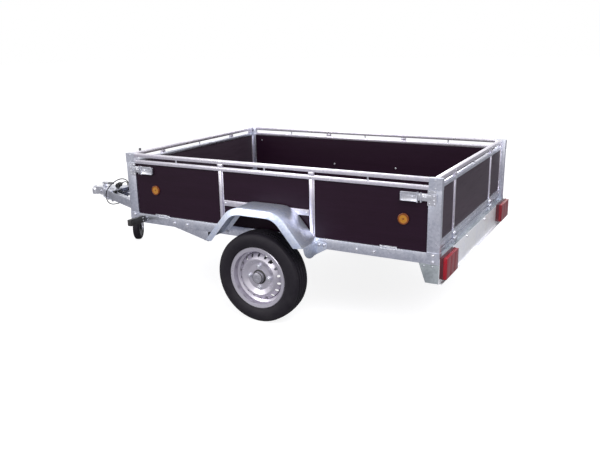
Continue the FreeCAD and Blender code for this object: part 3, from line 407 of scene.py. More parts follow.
def make_dusty(name, tone, gloss, dirt, dust_tone, dust_gloss, bump, grain, **constants):
    """One plain colour under dust, with the dust's own grain as its bump."""
    finish, tree, shader = new_finish(name, **constants)
    layer = use_group(tree, dust, own_place(tree), **dirt)
    surface = dusted(tree, layer["Mask"], tone, gloss, dust_tone, dust_gloss)
    coat(tree, shader, *surface, layer["Height"], bump, grain)
    return finish


def make_rubber(name, tone, gloss, dust_amount):
    dirt = {"Amount": dust_amount, "Scale": 16.0, "Low": 0.0, "High": 0.55}
    return make_dusty(name, tone, gloss, dirt, (0.075, 0.07, 0.072, 1), 0.3, 0.18, 0.0005,
                      Specular_IOR_Level=0.22)


def make_plastic(name, tone, gloss):
    dirt = {"Amount": 0.18, "Scale": 22.0, "Low": 0.3, "High": 0.6}
    return make_dusty(name, tone, gloss, dirt, (0.2, 0.19, 0.17, 1), 0.4, 0.25, 0.0004)


def make_wheel_paint():
    """Silver paint with fine flakes, dusty below."""
    finish, tree, shader = new_finish(
        "silver wheel paint", Metallic=0.75, Coat_Weight=0.25, Coat_Roughness=0.2)
    vector = own_place(tree)
    dirt = use_group(tree, dust, vector, Amount=0.3, Scale=24.0, Low=0.05, High=0.5)
    flake = add_noise(tree, vector, 700.0, 1.0)
    tone = add_mix(tree, flake, (0.54, 0.51, 0.59, 1), (0.72, 0.69, 0.78, 1))
    surface = dusted(tree, dirt["Mask"], tone, 0.27, (0.3, 0.28, 0.26, 1), 0.4)
    coat(tree, shader, *surface, flake, 0.06, 0.0003)
    return finish


def make_lens(name, deep, bright, cell):
    """Coloured lens plastic over a pattern of small prisms."""
    finish, tree, shader = new_finish(
        name, Coat_Weight=0.35, Coat_Roughness=0.08, Specular_IOR_Level=0.3)
    vector = own_place(tree)
    edge = add_range(tree, add_cells(tree, vector, cell), 0.02, 0.4, 0.0, 1.0)
    haze = add_range(tree, add_noise(tree, vector, 35.0), 0.3, 0.7, 0.75, 1.0)
    colour = add_mix(tree, add_math(tree, "MULTIPLY", edge, haze), deep, bright)
    coat(tree, shader, colour, add_range(tree, edge, 0.0, 1.0, 0.3, 0.16), edge, 0.5, 0.001)
    return finish


spangle = make_spangle_group()
dust = make_dust_group()
ply = make_ply_group()

galvanised = make_zinc("galvanised steel", light=(0.90, 0.91, 1.0, 1), dull=(0.44, 0.465, 0.56, 1),
                       gloss=0.23, crystal=80.0, metallic=1.0, bump=0.12)
zinc_plate = make_zinc("bright zinc plate", light=(0.95, 0.95, 1.0, 1), dull=(0.55, 0.56, 0.63, 1),
                       gloss=0.2, crystal=160.0, metallic=1.0, bump=0.05)
# Hub steel painted near-black: painted shade on the hub that shows in the gap round the dust cap.
hub_steel = make_zinc("hub steel painted dark as shade", light=(0.16, 0.155, 0.17, 1), dull=(0.08, 0.08, 0.09, 1),
                      gloss=0.45, crystal=120.0, metallic=0.8, bump=0.1)
# Rails, uprights and braces: the galvanised steel in lighter colours, painted light for the light on
# their tops.
lit_rail_zinc = make_zinc("rail zinc painted lighter as light", light=(0.97, 0.93, 1.0, 1), dull=(0.58, 0.55, 0.66, 1),
                      gloss=0.22, crystal=80.0, metallic=0.93, bump=0.08)
# Mudguards: the zinc tinted bluer, a painted reflection of the blue-grey seen on their tops.
reflection_tinted_guard_zinc = make_zinc("mudguard zinc tinted as a reflection", light=(0.90, 0.935, 1.0, 1), dull=(0.46, 0.52, 0.71, 1),
                       gloss=0.29, crystal=80.0, metallic=0.87, bump=0.1)
cap_steel = make_zinc("hub cap steel", light=(0.6, 0.59, 0.66, 1), dull=(0.22, 0.215, 0.25, 1),
                      gloss=0.36, crystal=150.0, metallic=0.9, bump=0.08)
lit_and_shaded_board_zinc = make_board_zinc()
# One film-faced ply in two tones: the sides painted darker as shade, the gates painted lighter as light.
shaded_side_ply = make_ply("side ply painted darker as shade", stretch=(1.2, 6.0, 14.0), dark=(0.013, 0.0034, 0.011, 1),
                    pale=(0.018, 0.0055, 0.0165, 1), gloss=0.42)
lit_gate_ply = make_ply("gate ply painted lighter as light", stretch=(6.0, 1.2, 14.0), dark=(0.030, 0.019, 0.030, 1),
                    pale=(0.052, 0.035, 0.052, 1), gloss=0.42)
floor_ply = make_floor_ply()
tyre_rubber = make_rubber("tyre rubber", (0.0105, 0.0082, 0.0135, 1), gloss=0.55, dust_amount=0.22)
cable_rubber = make_rubber("cable rubber", (0.012, 0.012, 0.013, 1), gloss=0.5, dust_amount=0.12)
black_plastic = make_plastic("black plastic", (0.014, 0.014, 0.015, 1), gloss=0.42)
lamp_shell = make_plastic("lamp shell", (0.075, 0.004, 0.012, 1), gloss=0.4)
grey_plastic = make_plastic("grey plastic", (0.16, 0.16, 0.17, 1), gloss=0.45)
red_lens = make_lens("red lens", (0.2, 0.002, 0.01, 1), (0.62, 0.008, 0.026, 1), cell=150.0)
amber_lens = make_lens("amber reflector", (0.36, 0.13, 0.008, 1), (0.62, 0.3, 0.028, 1), cell=210.0)
dark_amber = make_lens("dark amber rim", (0.16, 0.035, 0.003, 1), (0.3, 0.08, 0.006, 1), cell=210.0)
clear_lens = make_lens("clear lens", (0.45, 0.47, 0.5, 1), (0.85, 0.86, 0.88, 1), cell=150.0)
wheel_paint = make_wheel_paint()

# Slot and material of the CAD nodes: those whose sharp edges are rounded, then the others
NODE_FINISHES = [
    ("galvanised", galvanised,
     ["side_beams", "rear_beam", "front_beam", "cross_members", "corner_posts", "tailgate_bottom_rail",
      "tailgate_lower_rail", "front_gate_bottom_rail", "front_gate_lower_rail", "axle_tube",
      "axle_brackets", "drawbar_arms", "drawbar_head_plates"],
     ["swing_arms"]),
    ("galvanised", lit_rail_zinc,
     ["side_lower_rails", "side_top_rails", "side_uprights", "side_braces", "tailgate_top_rail",
      "tailgate_uprights", "front_gate_top_rail", "front_gate_uprights"],
     []),
    ("galvanised", reflection_tinted_guard_zinc, ["mudguards"], []),
    ("galvanised", lit_and_shaded_board_zinc, ["light_board"], []),
    ("zinc_plate", zinc_plate,
     ["panel_clips", "latches", "gate_hinges", "coupling_handle"],
     ["coupling_head", "jockey_clamp", "jockey_outer_tube", "jockey_inner_tube", "jockey_fork"]),
    ("plywood", shaded_side_ply, [], ["side_panels"]),
    ("plywood", lit_gate_ply, [], ["tailgate_panel", "front_gate_panel"]),
    ("plywood", floor_ply, [], ["floor_panel"]),
    ("amber", amber_lens, [], ["side_reflectors"]),
    ("red_lens", red_lens, [], ["tail_lamps"]),
    ("clear_lens", clear_lens, ["front_lamp_lenses"], []),
    ("black_plastic", lamp_shell, ["tail_lamp_bases"], []),
    ("black_plastic", black_plastic, ["front_lamps"], []),
    ("tyre_rubber", tyre_rubber, [], ["tyre_left", "tyre_right"]),
    ("small_wheel_rubber", tyre_rubber, [], ["jockey_wheel"]),
    ("wheel_silver", wheel_paint, [], ["rim_left", "rim_right"]),
    # The hubs take the near-black steel, as painted shade.
    ("hub_steel", hub_steel, [], ["hub_left", "hub_right"]),
    ("cable_rubber", cable_rubber, [], ["cable", "cable_gland", "cable_plug"]),
]


# Shapes

SAME_POINT = 0.000001
SAME_CORNER = 0.00002
EDGE_ROUND = 0.0009
SMOOTH_ANGLE = 35


def add_piece(bm, name, body, material, smooth_angle=SMOOTH_ANGLE):
    """The mesh as a piece of the scene that rides on a body."""
    bmesh.ops.remove_doubles(bm, verts=bm.verts[:], dist=SAME_POINT)
    bmesh.ops.recalc_face_normals(bm, faces=bm.faces[:])
    mesh = bpy.data.meshes.new(name)
    bm.to_mesh(mesh)
    bm.free()
    mesh.materials.append(material)
    mesh.shade_smooth()
    mesh.set_sharp_from_angle(angle=math.radians(smooth_angle))
    piece = bpy.data.objects.new(name, mesh)
    scene.collection.objects.link(piece)
    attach(piece, body)
    return piece


def add_hardware(bm, name, body="root", smooth_angle=30):
    """Small zinc-plated parts as one piece."""
    return add_piece(bm, name, body, zinc_plate, smooth_angle)


def side_word(side):
    return "left" if side > 0 else "right"


def add_rod(bm, start, axis, length, radius, segments=24, end_radius=None):
    """A round bar from start along axis, or a cone where end_radius is given."""
    axis = Vector(axis).normalized()
    middle = Vector(start) + axis * length / 2
    turn = UP.rotation_difference(axis).to_matrix().to_4x4()
    bmesh.ops.create_cone(
        bm, cap_ends=True, cap_tris=False, segments=segments, radius1=radius,
        radius2=radius if end_radius is None else end_radius, depth=length,
        matrix=Matrix.Translation(middle) @ turn)


def add_box(bm, low, high):
    """A block between two corners, given in any order."""
    low, high = Vector(low), Vector(high)
    size = [abs(length) for length in high - low]
    shape = Matrix.Translation((low + high) / 2) @ Matrix.Diagonal((*size, 1))
    bmesh.ops.create_cube(bm, size=1.0, matrix=shape)


def add_lathe(bm, origin, axis, profile, segments=32, closed=False):
    """A turned shape: points of (distance along the axis, radius), swept once round it."""
    axis = Vector(axis).normalized()
    across = axis.orthogonal().normalized()
    origin = Vector(origin)
    rings = []
    for i in range(segments):
        side = Matrix.Rotation(2 * math.pi * i / segments, 3, axis) @ across
        rings.append([bm.verts.new(origin + axis * along + side * radius) for along, radius in profile])
    count = len(profile)
    for i in range(segments):
        here, after = rings[i], rings[(i + 1) % segments]
        for k in range(count if closed else count - 1):
            n = (k + 1) % count
            bm.faces.new((here[k], here[n], after[n], after[k]))


def add_bent_rod(bm, points, radius, segments=12):
    """Round bar along straight runs, with a ball at each corner."""
    points = [Vector(point) for point in points]
    for first, second in zip(points, points[1:]):
        add_rod(bm, first, second - first, (second - first).length, radius, segments)
    for corner in points[1:-1]:
        bmesh.ops.create_uvsphere(bm, u_segments=segments, v_segments=8, radius=radius,
                                  matrix=Matrix.Translation(corner))


def add_ribs(bm, start, along, count, ring, length, radius, segments=8):
    """Thin bars along an axis, evenly spaced on a ring round it."""
    across = along.orthogonal().normalized()
    for i in range(count):
        spoke = Matrix.Rotation(2 * math.pi / count * i, 3, along) @ across
        add_rod(bm, start + spoke * ring, along, length, radius, segments)


def add_weld(bm, start, end, radius=0.0022):
    """A run of overlapping ripples, as a weld bead has."""
    start, end = Vector(start), Vector(end)
    count = max(2, round((end - start).length / (radius * 1.3)))
    for i in range(count + 1):
        place = start.lerp(end, i / count)
        bmesh.ops.create_icosphere(bm, subdivisions=1, radius=radius, matrix=Matrix.Translation(place))


def sharp_edges(bm, degrees):
    return [edge for edge in bm.edges
            if len(edge.link_faces) == 2 and edge.calc_face_angle(0) > math.radians(degrees)]


def bevel_edges(bm, edges, width, segments=2):
    bmesh.ops.bevel(bm, geom=edges, offset=width, offset_type="OFFSET", segments=segments, affect="EDGES",
                    profile=0.5, material=-1, clamp_overlap=True)


def round_edges(node, material):
    """A copy of a CAD node with its sharp edges broken, as folded and dipped steel has."""
    source = frame["nodes"][node]
    bm = bmesh.new()
    bm.from_mesh(source.data)
    bmesh.ops.remove_doubles(bm, verts=bm.verts[:], dist=SAME_CORNER)
    bmesh.ops.dissolve_limit(bm, angle_limit=math.radians(0.5), verts=bm.verts[:], edges=bm.edges[:],
                             use_dissolve_boundaries=False)
    bevel_edges(bm, sharp_edges(bm, 38), EDGE_ROUND)
    piece = add_piece(bm, node + "_rounded", source["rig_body"], material)
    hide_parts(node)


def finish_nodes():
    for slot, material, rounded, others in NODE_FINISHES:
        for node in rounded + others:
            mesh = frame["nodes"][node].data
            mesh.materials.clear()
            mesh.materials.append(material)
            mesh.shade_smooth()
            mesh.set_sharp_from_angle(angle=math.radians(SMOOTH_ANGLE))
        for node in rounded:
            round_edges(node, material)


# Bolts by the width across the flats and the height of the head, rivets by radius and height

M5 = (0.008, 0.0035)
M6 = (0.010, 0.005)
M8 = (0.013, 0.006)
M10 = (0.017, 0.009)
M10_NUT = (0.017, 0.011)
SADDLE_BOLT = (0.017, 0.008)
CASTER_NUT = (0.015, 0.0058)
THREAD_RADIUS = 0.005
RIVET = (0.0048, 0.0025)
SMALL_RIVET = (0.00384, 0.002)


def add_bolt(bm, seat, axis, across, height):
    """A hexagon head on its washer, seated at a point and standing out along axis."""
    axis = Vector(axis).normalized()
    seat = Vector(seat)
    add_rod(bm, seat, axis, across * 0.1, across * 0.98, 20)
    seat = seat + axis * across * 0.1
    corner = across / 2 / math.cos(math.pi / 6)
    add_rod(bm, seat, axis, height * 0.8, corner, 6)
    add_rod(bm, seat + axis * height * 0.8, axis, height * 0.2, across / 2, 18, across * 0.4)


def add_round_head(bm, seat, axis, radius, height):
    """A low domed rivet or coach-bolt head."""
    axis = Vector(axis).normalized()
    add_rod(bm, seat, axis, height * 0.45, radius, 18, radius * 0.92)
    add_rod(bm, Vector(seat) + axis * height * 0.45, axis, height * 0.35, radius * 0.92, 18, radius * 0.6)
    add_rod(bm, Vector(seat) + axis * height * 0.8, axis, height * 0.2, radius * 0.6, 18, radius * 0.2)


def side_bolt(bm, side, x, y, z, across, height):
    add_bolt(bm, (x, y * side, z), LEFT * side, across, height)


def side_rivet(bm, side, x, y, z, radius, height):
    add_round_head(bm, (x, y * side, z), LEFT * side, radius, height)


def through_bolt(bm, head, nut, axis, thread):
    """A bolt's head at one point, its nut at another and the thread that stands out of the nut."""
    add_bolt(bm, head, axis, *M10)
    add_bolt(bm, nut, -axis, *M10_NUT)
    add_rod(bm, nut, -axis, thread, THREAD_RADIUS, 16)


# Tyres with their tread

TREAD_PITCHES = 72
TREAD_PITCH = 2 * math.pi / TREAD_PITCHES
GROOVE_DEPTH = 0.007
GROOVE_PLACES = (-0.036, -0.0125, 0.0125, 0.036)
GROOVE_HALF = 0.0035
TREAD_HALF = 0.060
SHOULDER_DROP = 0.0055
# A pitch is split into strips. The cross cuts sink these faces of one strip, counted from the inner bead:
# the inner shoulder, both outer ribs and one wall of each long groove
PITCH_SPLITS = (0.0, 0.5, 0.58, 1.0)
CUT_STRIP = 1
CUT_FACES = (9, 10, 13, 17, 21, 25, 26)
CUT_DEPTH = 0.005


def tread_profile():
    """Points (across, radius) over the tyre from bead to bead, with the long grooves cut in."""
    bead_half = (rim_high.y - rim_low.y) / 2 - 0.0062
    bead = tyre_radius - 0.1062
    side = [(-bead_half, bead), (-bead_half - 0.003, bead + 0.019), (-bead_half - 0.010, bead + 0.026),
            (-tyre_half + 0.0045, bead + 0.037), (-tyre_half + 0.001, bead + 0.051),
            (-tyre_half + 0.0003, bead + 0.062), (-tyre_half + 0.0018, bead + 0.0745),
            (-tyre_half + 0.0045, bead + 0.084), (-TREAD_HALF - 0.0085, bead + 0.0935),
            (-TREAD_HALF - 0.0035, tyre_radius - SHOULDER_DROP - 0.0022)]
    top = []
    for place in GROOVE_PLACES:
        for share, depth in ((-1, 0), (-0.7, GROOVE_DEPTH), (0.7, GROOVE_DEPTH), (1, 0)):
            across = place + GROOVE_HALF * share
            crown = tyre_radius - SHOULDER_DROP * (across / TREAD_HALF) ** 2
            top.append((across, crown - depth))
    edge = tyre_radius - SHOULDER_DROP
    crown = [(-TREAD_HALF, edge)] + top + [(TREAD_HALF, edge)]
    return side + crown + [(-across, radius) for across, radius in reversed(side)]


def make_tyre(side):
    """One pitch of the tread with its cross cuts, spun round the wheel."""
    centre = Vector((wheel_centre.x, wheel_centre.y * side, wheel_centre.z))
    bm = bmesh.new()
    rows = []
    for share in PITCH_SPLITS:
        sine, cosine = math.sin(TREAD_PITCH * share), math.cos(TREAD_PITCH * share)
        rows.append([bm.verts.new(centre + Vector((radius * sine, across * side, radius * cosine)))
                     for across, radius in tread_profile()])
    cuts = []
    for strip, (row, after) in enumerate(zip(rows, rows[1:])):
        for k in range(len(row) - 1):
            face = bm.faces.new((row[k], row[k + 1], after[k + 1], after[k]))
            if strip == CUT_STRIP and k in CUT_FACES:
                cuts.append(face)
    bmesh.ops.inset_individual(bm, faces=cuts, thickness=0.0003, depth=-CUT_DEPTH, use_even_offset=True)
    bmesh.ops.spin(bm, geom=bm.verts[:] + bm.edges[:] + bm.faces[:], cent=centre, axis=LEFT,
                   angle=TREAD_PITCH * (TREAD_PITCHES - 1), steps=TREAD_PITCHES - 1, use_duplicate=True)
    bmesh.ops.remove_doubles(bm, verts=bm.verts[:], dist=SAME_CORNER)
    word = side_word(side)
    piece = add_piece(bm, "treaded_tyre_" + word, "wheel_" + word, tyre_rubber, 40)
    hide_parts("tyre_" + word)


# Sides of the box

SHEET = 0.0012
POST_LENGTH = 0.070
POST_DEPTH = 0.030
UPRIGHT_HALF = 0.017
PANEL_INNER = 0.722
HOOK_INSET = 0.009
BEAM_BOLT_DROP = 0.036
BEAM_BOLT_PLACES = (0.344, 0.448)
BRACE_BOLT_REACH = 0.258
side_mid = (tail_face + head_face) / 2
upright_reach = (upright_high.x - upright_low.x) / 2 - UPRIGHT_HALF
rail_mids = ((lower_rail_low.z + lower_rail_high.z) / 2, (upper_rail_low.z + upper_rail_high.z) / 2)
rail_gap = upper_rail_low.z - lower_rail_high.z
latch_mid = (latch_low.z + latch_high.z) / 2
brace_mid = (brace_low.z + brace_high.z) / 2


def at_four_corners(x):
    """(place along, side) of something near a rear corner, and of its three mirror images."""
    for place in (x, tail_face + head_face - x):
        for side in (1, -1):
            yield place, side


def inward_from(x):
    return 1 if x < side_mid else -1


def make_frame_bolts():
    """Heads on the side beams, posts, rails, uprights and braces."""
    bm = bmesh.new()
    for side in (1, -1):
        for x in (brace_low.x + 0.014, brace_high.x - 0.014):
            side_rivet(bm, side, x, half_width, brace_mid, 0.0065, 0.004)
        for x in (side_mid - upright_reach, side_mid + upright_reach):
            for z in rail_mids:
                side_rivet(bm, side, x, half_width, z, *RIVET)
            for z in (floor_high.z + 0.022, floor_high.z + 0.095, lower_rail_low.z - 0.02):
                side_rivet(bm, side, x, half_width, z, *SMALL_RIVET)
    for x, side in at_four_corners(post_low.x + POST_LENGTH / 2):
        for z in (beam_low.z + 0.013, beam_high.z - 0.013):
            side_bolt(bm, side, x, half_width + SHEET, z, *M8)
        for z in rail_mids:
            side_rivet(bm, side, x, half_width + SHEET, z, *RIVET)
    for reach in BEAM_BOLT_PLACES:
        for x, side in at_four_corners(tail_face + reach):
            side_bolt(bm, side, x, half_width, beam_high.z - BEAM_BOLT_DROP, *M8)
    add_hardware(bm, "frame_bolts")


def make_inner_bolts():
    """Coach-bolt heads inside the box, where the braces and latches are fixed."""
    bm = bmesh.new()
    for side in (1, -1):
        for x in (side_mid - BRACE_BOLT_REACH, side_mid + BRACE_BOLT_REACH):
            add_round_head(bm, (x, PANEL_INNER * side, brace_mid), LEFT * -side, 0.0085, 0.004)
    for x, side in at_four_corners(latch_low.x + 0.1):
        add_round_head(bm, (x, PANEL_INNER * side, latch_mid), LEFT * -side, 0.006, 0.003)
    add_hardware(bm, "inner_bolts")


def make_post_plates():
    """The folded corner plates at the head and the foot of each post, with their weld runs."""
    bm = bmesh.new()
    foot_top = beam_high.z + 0.004
    head_bottom = lower_rail_low.z + 0.002
    for x, side in at_four_corners(post_low.x):
        inward = inward_from(x)
        far = x + inward * POST_LENGTH
        outer = half_width * side
        inner = (half_width - POST_DEPTH) * side
        skin = SHEET * side
        for low, high in ((beam_low.z, foot_top), (head_bottom, post_high.z - 0.0005)):
            add_box(bm, (x, outer, low), (far, outer + skin, high))
            add_box(bm, (x, inner, low), (x - inward * SHEET, outer + skin, high))
        middle = outer + skin / 2
        for z in (foot_top, head_bottom):
            add_weld(bm, (x + inward * 0.004, middle, z), (far - inward * 0.004, middle, z), 0.0012)
    add_piece(bm, "post_plates", "root", galvanised, 30)


def add_hook_pin(bm, x, y):
    """A pin in the gap between the two top rails."""
    add_rod(bm, (x, y, lower_rail_high.z), UP, rail_gap, 0.0045, 16)


def make_net_hooks():
    """Pins with a flat foot between the sides' two top rails, one in each bay."""
    bm = bmesh.new()
    end_bay = (post_low.x + POST_LENGTH + side_mid - upright_reach) / 2
    for x, side in [(side_mid, 1), (side_mid, -1), *at_four_corners(end_bay)]:
        y = (half_width - HOOK_INSET) * side
        add_hook_pin(bm, x, y)
        add_rod(bm, (x, y, lower_rail_high.z), UP, 0.0025, 0.0085, 16)
    add_hardware(bm, "net_hooks")


def make_lashing_loops():
    """Wire loops that hang from the panel clips over the beam's face."""
    bm = bmesh.new()
    wire = 0.0026
    for middle, side in at_four_corners(clip_low.x + 0.05):
        y = (half_width + wire) * side
        top = clip_low.z + 0.0045
        low = top - 0.013
        corners = [(middle - 0.042, y, top), (middle + 0.042, y, top), (middle + 0.047, y, low + 0.004),
                   (middle + 0.036, y, low), (middle - 0.036, y, low), (middle - 0.047, y, low + 0.004)]
        add_bent_rod(bm, corners + corners[:2], wire)
        for x in (middle - 0.03, middle + 0.03):
            add_box(bm, (x - 0.006, (half_width - 0.009) * side, clip_low.z),
                    (x + 0.006, y, clip_low.z + 0.0075))
    add_hardware(bm, "lashing_loops", smooth_angle=40)


def make_latch_parts():
    """Catch, rivets, pivot pins, rolled finger lip and pressed rib of the four latches."""
    bm = bmesh.new()
    strap = half_width + 0.003
    catch = strap + 0.005
    foot = half_width + 0.0028
    lever = latch_high.y
    for corner, side in at_four_corners(latch_low.x):

        def along(reach):
            return corner + inward_from(corner) * reach

        def add_plate(near, far, inner, outer, half_height):
            add_box(bm, (along(near), inner * side, latch_mid - half_height),
                    (along(far), outer * side, latch_mid + half_height))

        def add_pin(reach, y, bottom, length, radius, segments=16):
            add_rod(bm, (along(reach), y * side, latch_mid + bottom), UP, length, radius, segments)

        def add_head(reach, y, rise, radius, height=0.0025):
            side_rivet(bm, side, along(reach), y, latch_mid + rise, radius, height)

        add_plate(-0.004, 0.024, strap, catch, 0.019)
        for rise in (-0.011, 0.011):
            add_head(0.010, catch, rise, 0.0042)
        for reach in (0.055, 0.068):
            add_head(reach, strap, 0, 0.0055, 0.003)
        add_plate(0.001, 0.046, half_width, foot, 0.041)
        for reach in (0.010, 0.037):
            for rise in (-0.031, 0.031):
                add_head(reach, foot, rise, 0.0045)
        add_pin(0.080, strap + 0.003, -0.027, 0.054, 0.0048, 18)
        add_pin(0.0985, lever - 0.0045, -0.026, 0.052, 0.0036)
        for bottom in (-0.028, 0.0245):
            add_pin(0.0985, lever - 0.0045, bottom, 0.0035, 0.0056)
        add_pin(0.1895, lever - 0.0028, -0.0225, 0.045, 0.0028, 14)
        add_plate(0.112, 0.172, lever - 0.0085, lever - 0.005, 0.005)
        add_head(0.126, lever - 0.005, 0, 0.0042)
    add_hardware(bm, "latch_parts")


def make_floor_screws():
    """Rows of countersunk heads over the cross members and along the floor's edges."""
    bm = bmesh.new()
    rows, columns, edge = 8, 6, 0.03
    head = [(0, 0.0062), (0.0007, 0.0058), (0.0009, 0.003), (0.0003, 0.0026), (0.0003, 0)]
    for i in range(rows):
        x = floor_low.x + edge + (floor_high.x - floor_low.x - 2 * edge) * i / (rows - 1)
        for k in range(columns):
            if 0 < i < rows - 1 and 0 < k < columns - 1 and i % 2 == 0:
                continue
            y = floor_low.y + edge + (floor_high.y - floor_low.y - 2 * edge) * k / (columns - 1)
            add_lathe(bm, (x, y, floor_high.z - 0.0004), UP, head, 16)
    add_hardware(bm, "floor_screws")


# Gates

GATE_UPRIGHTS = (-0.415, 0.415)
GATE_STILES = (-0.697, 0.697)
HINGE_LEAF = 0.003


def make_gate_hardware(body, face, out):
    """Rivets on one gate's rails, stiles and uprights, its hinge leaves' bolts and its hook."""
    bm = bmesh.new()
    aim = AHEAD * out
    for y in GATE_UPRIGHTS:
        for shift in (-0.012, 0.012):
            add_bolt(bm, (face + HINGE_LEAF * out, y + shift, floor_high.z + 0.031), aim, *M6)
        for z in rail_mids:
            add_round_head(bm, (face, y, z), aim, *RIVET)
        for z in (floor_high.z + 0.08, lower_rail_low.z - 0.02):
            add_round_head(bm, (face, y, z), aim, *SMALL_RIVET)
    for y in GATE_STILES:
        for z in (floor_high.z + 0.028, *rail_mids):
            add_round_head(bm, (face, y, z), aim, *RIVET)
    add_hook_pin(bm, face - HOOK_INSET * out, 0)
    add_hardware(bm, body + "_hardware", body)


def make_hinge_bolts():
    """Two bolts on each hinge bracket, and the heads of its pin."""
    bm = bmesh.new()
    for face, out in ((tail_face, -1), (head_face, 1)):
        for y in GATE_UPRIGHTS:
            for shift in (-0.014, 0.014):
                add_bolt(bm, (face + HINGE_LEAF * out, y + shift, floor_high.z - 0.016), AHEAD * out, *M5)
            for side in (1, -1):
                pin_end = (face + 0.009 * out, y + 0.0242 * side, floor_high.z + 0.0025)
                add_round_head(bm, pin_end, LEFT * side, 0.0062, 0.003)
    add_hardware(bm, "hinge_bolts")


# Mudguards, axle and arms

GUARD_SHEET = 0.002
# Bolts along the beam, from the wheel's centre
BRACE_BOLT_PLACES = (-0.075, 0.075)
FRONT_BOLT_PLACE = 0.312
GUSSET_BOLT_PLACES = (-0.333, -0.363)
PIVOT_CAP_Y = 0.732


def make_guard_bolts():
    """Bolts that hold the mudguards to the brace and to the beam."""
    bm = bmesh.new()
    face = half_width + GUARD_SHEET
    for side in (1, -1):
        for place in BRACE_BOLT_PLACES:
            side_bolt(bm, side, wheel_centre.x + place, face, guard_top - 0.017, *M8)
        side_bolt(bm, side, wheel_centre.x + FRONT_BOLT_PLACE, face, beam_high.z - BEAM_BOLT_DROP, *M8)
        for place in GUSSET_BOLT_PLACES:
            side_bolt(bm, side, wheel_centre.x + place, face + GUARD_SHEET, beam_high.z - 0.038, *M8)
    add_hardware(bm, "guard_bolts")


def make_axle_hardware():
    """Bolts through the axle saddles, caps on the arms' pivots and the welds on the tube."""
    bm = bmesh.new()
    middle = (axle_low + axle_high) / 2
    cap = [(0, 0.021), (0.003, 0.021), (0.0045, 0.0195), (0.0045, 0.012), (0.002, 0.0105), (0.002, 0)]
    for side in (1, -1):
        for x in (bracket_low.x + 0.016, bracket_high.x - 0.016):
            for y in (half_width - 0.084, half_width - 0.020):
                add_bolt(bm, (x, y * side, bracket_high.z - 0.006), -UP, *SADDLE_BOLT)
                add_rod(bm, (x, y * side, bracket_high.z - 0.022), UP, 0.012, THREAD_RADIUS, 16)
        add_lathe(bm, (middle.x, PIVOT_CAP_Y * side, middle.z), LEFT * side, cap, 32)
        for x in (axle_low.x, axle_high.x):
            add_weld(bm, (x, (half_width - 0.104) * side, axle_low.z),
                     (x, (half_width - 0.05) * side, axle_low.z))
    add_piece(bm, "axle_hardware", "root", galvanised, 30)


# Lamps and reflectors

TAIL_LENS_WIDTH = 0.212
FRONT_LENS_WIDTH = 0.095
BOARD_OUT = 0.025
BOARD_BOLT_PLACES = (-0.60, -0.21, 0.21, 0.60)
RIM_WALL = 0.0018


def make_tail_lamp(side):
    """A lens with three sunk fields."""
    bm = bmesh.new()
    add_box(bm, (lens_low.x, (lens_high.y - TAIL_LENS_WIDTH) * side, lens_low.z),
            (lens_high.x, lens_high.y * side, lens_high.z))
    bmesh.ops.recalc_face_normals(bm, faces=bm.faces[:])
    level = [edge for edge in bm.edges if abs(edge.verts[0].co.y - edge.verts[1].co.y) > 0.1
             and all(vert.co.x < (lens_low.x + lens_high.x) / 2 for vert in edge.verts)]
    bmesh.ops.subdivide_edges(bm, edges=level, cuts=2, use_grid_fill=True)
    fields = [face for face in bm.faces if face.normal.x < -0.9]
    bmesh.ops.inset_individual(bm, faces=fields, thickness=0.0035, depth=-0.0012, use_even_offset=True)
    bmesh.ops.inset_individual(bm, faces=fields, thickness=0.0012, depth=0.0004, use_even_offset=True)
    bevel_edges(bm, sharp_edges(bm, 60), 0.0011)
    return add_piece(bm, "tail_lens_" + side_word(side), "root", red_lens, 40)


def make_lamp_rims():
    """Dark rims round the tail lenses and the front lenses."""
    bm = bmesh.new()
    for side in (1, -1):
        skin = RIM_WALL * side
        back, front = lens_high.x, lens_high.x - 0.006
        outer, inner = lens_high.y * side, (lens_high.y - TAIL_LENS_WIDTH) * side
        for z, wall in ((lens_high.z, RIM_WALL), (lens_low.z, -RIM_WALL)):
            add_box(bm, (front, inner, z), (back, outer, z + wall))
        for y, wall in ((inner, -skin), (outer, skin)):
            add_box(bm, (front, y, lens_low.z - RIM_WALL), (back, y + wall, lens_high.z + RIM_WALL))
        start, end = front_lens_low.x, front_lens_low.x + 0.003
        near, far = front_lens_high.y * side, (front_lens_high.y - FRONT_LENS_WIDTH) * side
        for y, wall in ((near, skin), (far, -skin)):
            add_box(bm, (start, y, front_lens_low.z), (end, y + wall, front_lens_high.z))
        for z, wall in ((front_lens_high.z, RIM_WALL), (front_lens_low.z, -RIM_WALL)):
            add_box(bm, (start, near + skin, z), (end, far - skin, z + wall))
    add_piece(bm, "lamp_rims", "root", lamp_shell, 30)


def make_lamp_bolts():
    """Bolts along the light board, and rivets on its side plates and on the front lamps."""
    bm = bmesh.new()
    for y in BOARD_BOLT_PLACES:
        add_bolt(bm, (tail_face - BOARD_OUT, y, board_high.z - 0.012), -AHEAD, *M6)
    for side in (1, -1):
        for z in (lamp_low.z + 0.011, lamp_high.z - 0.011):
            add_round_head(bm, (lamp_low.x, (half_width + 0.012) * side, z), -AHEAD, 0.005, 0.003)
        for x in (board_high.x - 0.03, board_high.x - 0.075):
            side_rivet(bm, side, x, half_width, beam_low.z - 0.012, 0.005, 0.0025)
    add_hardware(bm, "lamp_bolts")


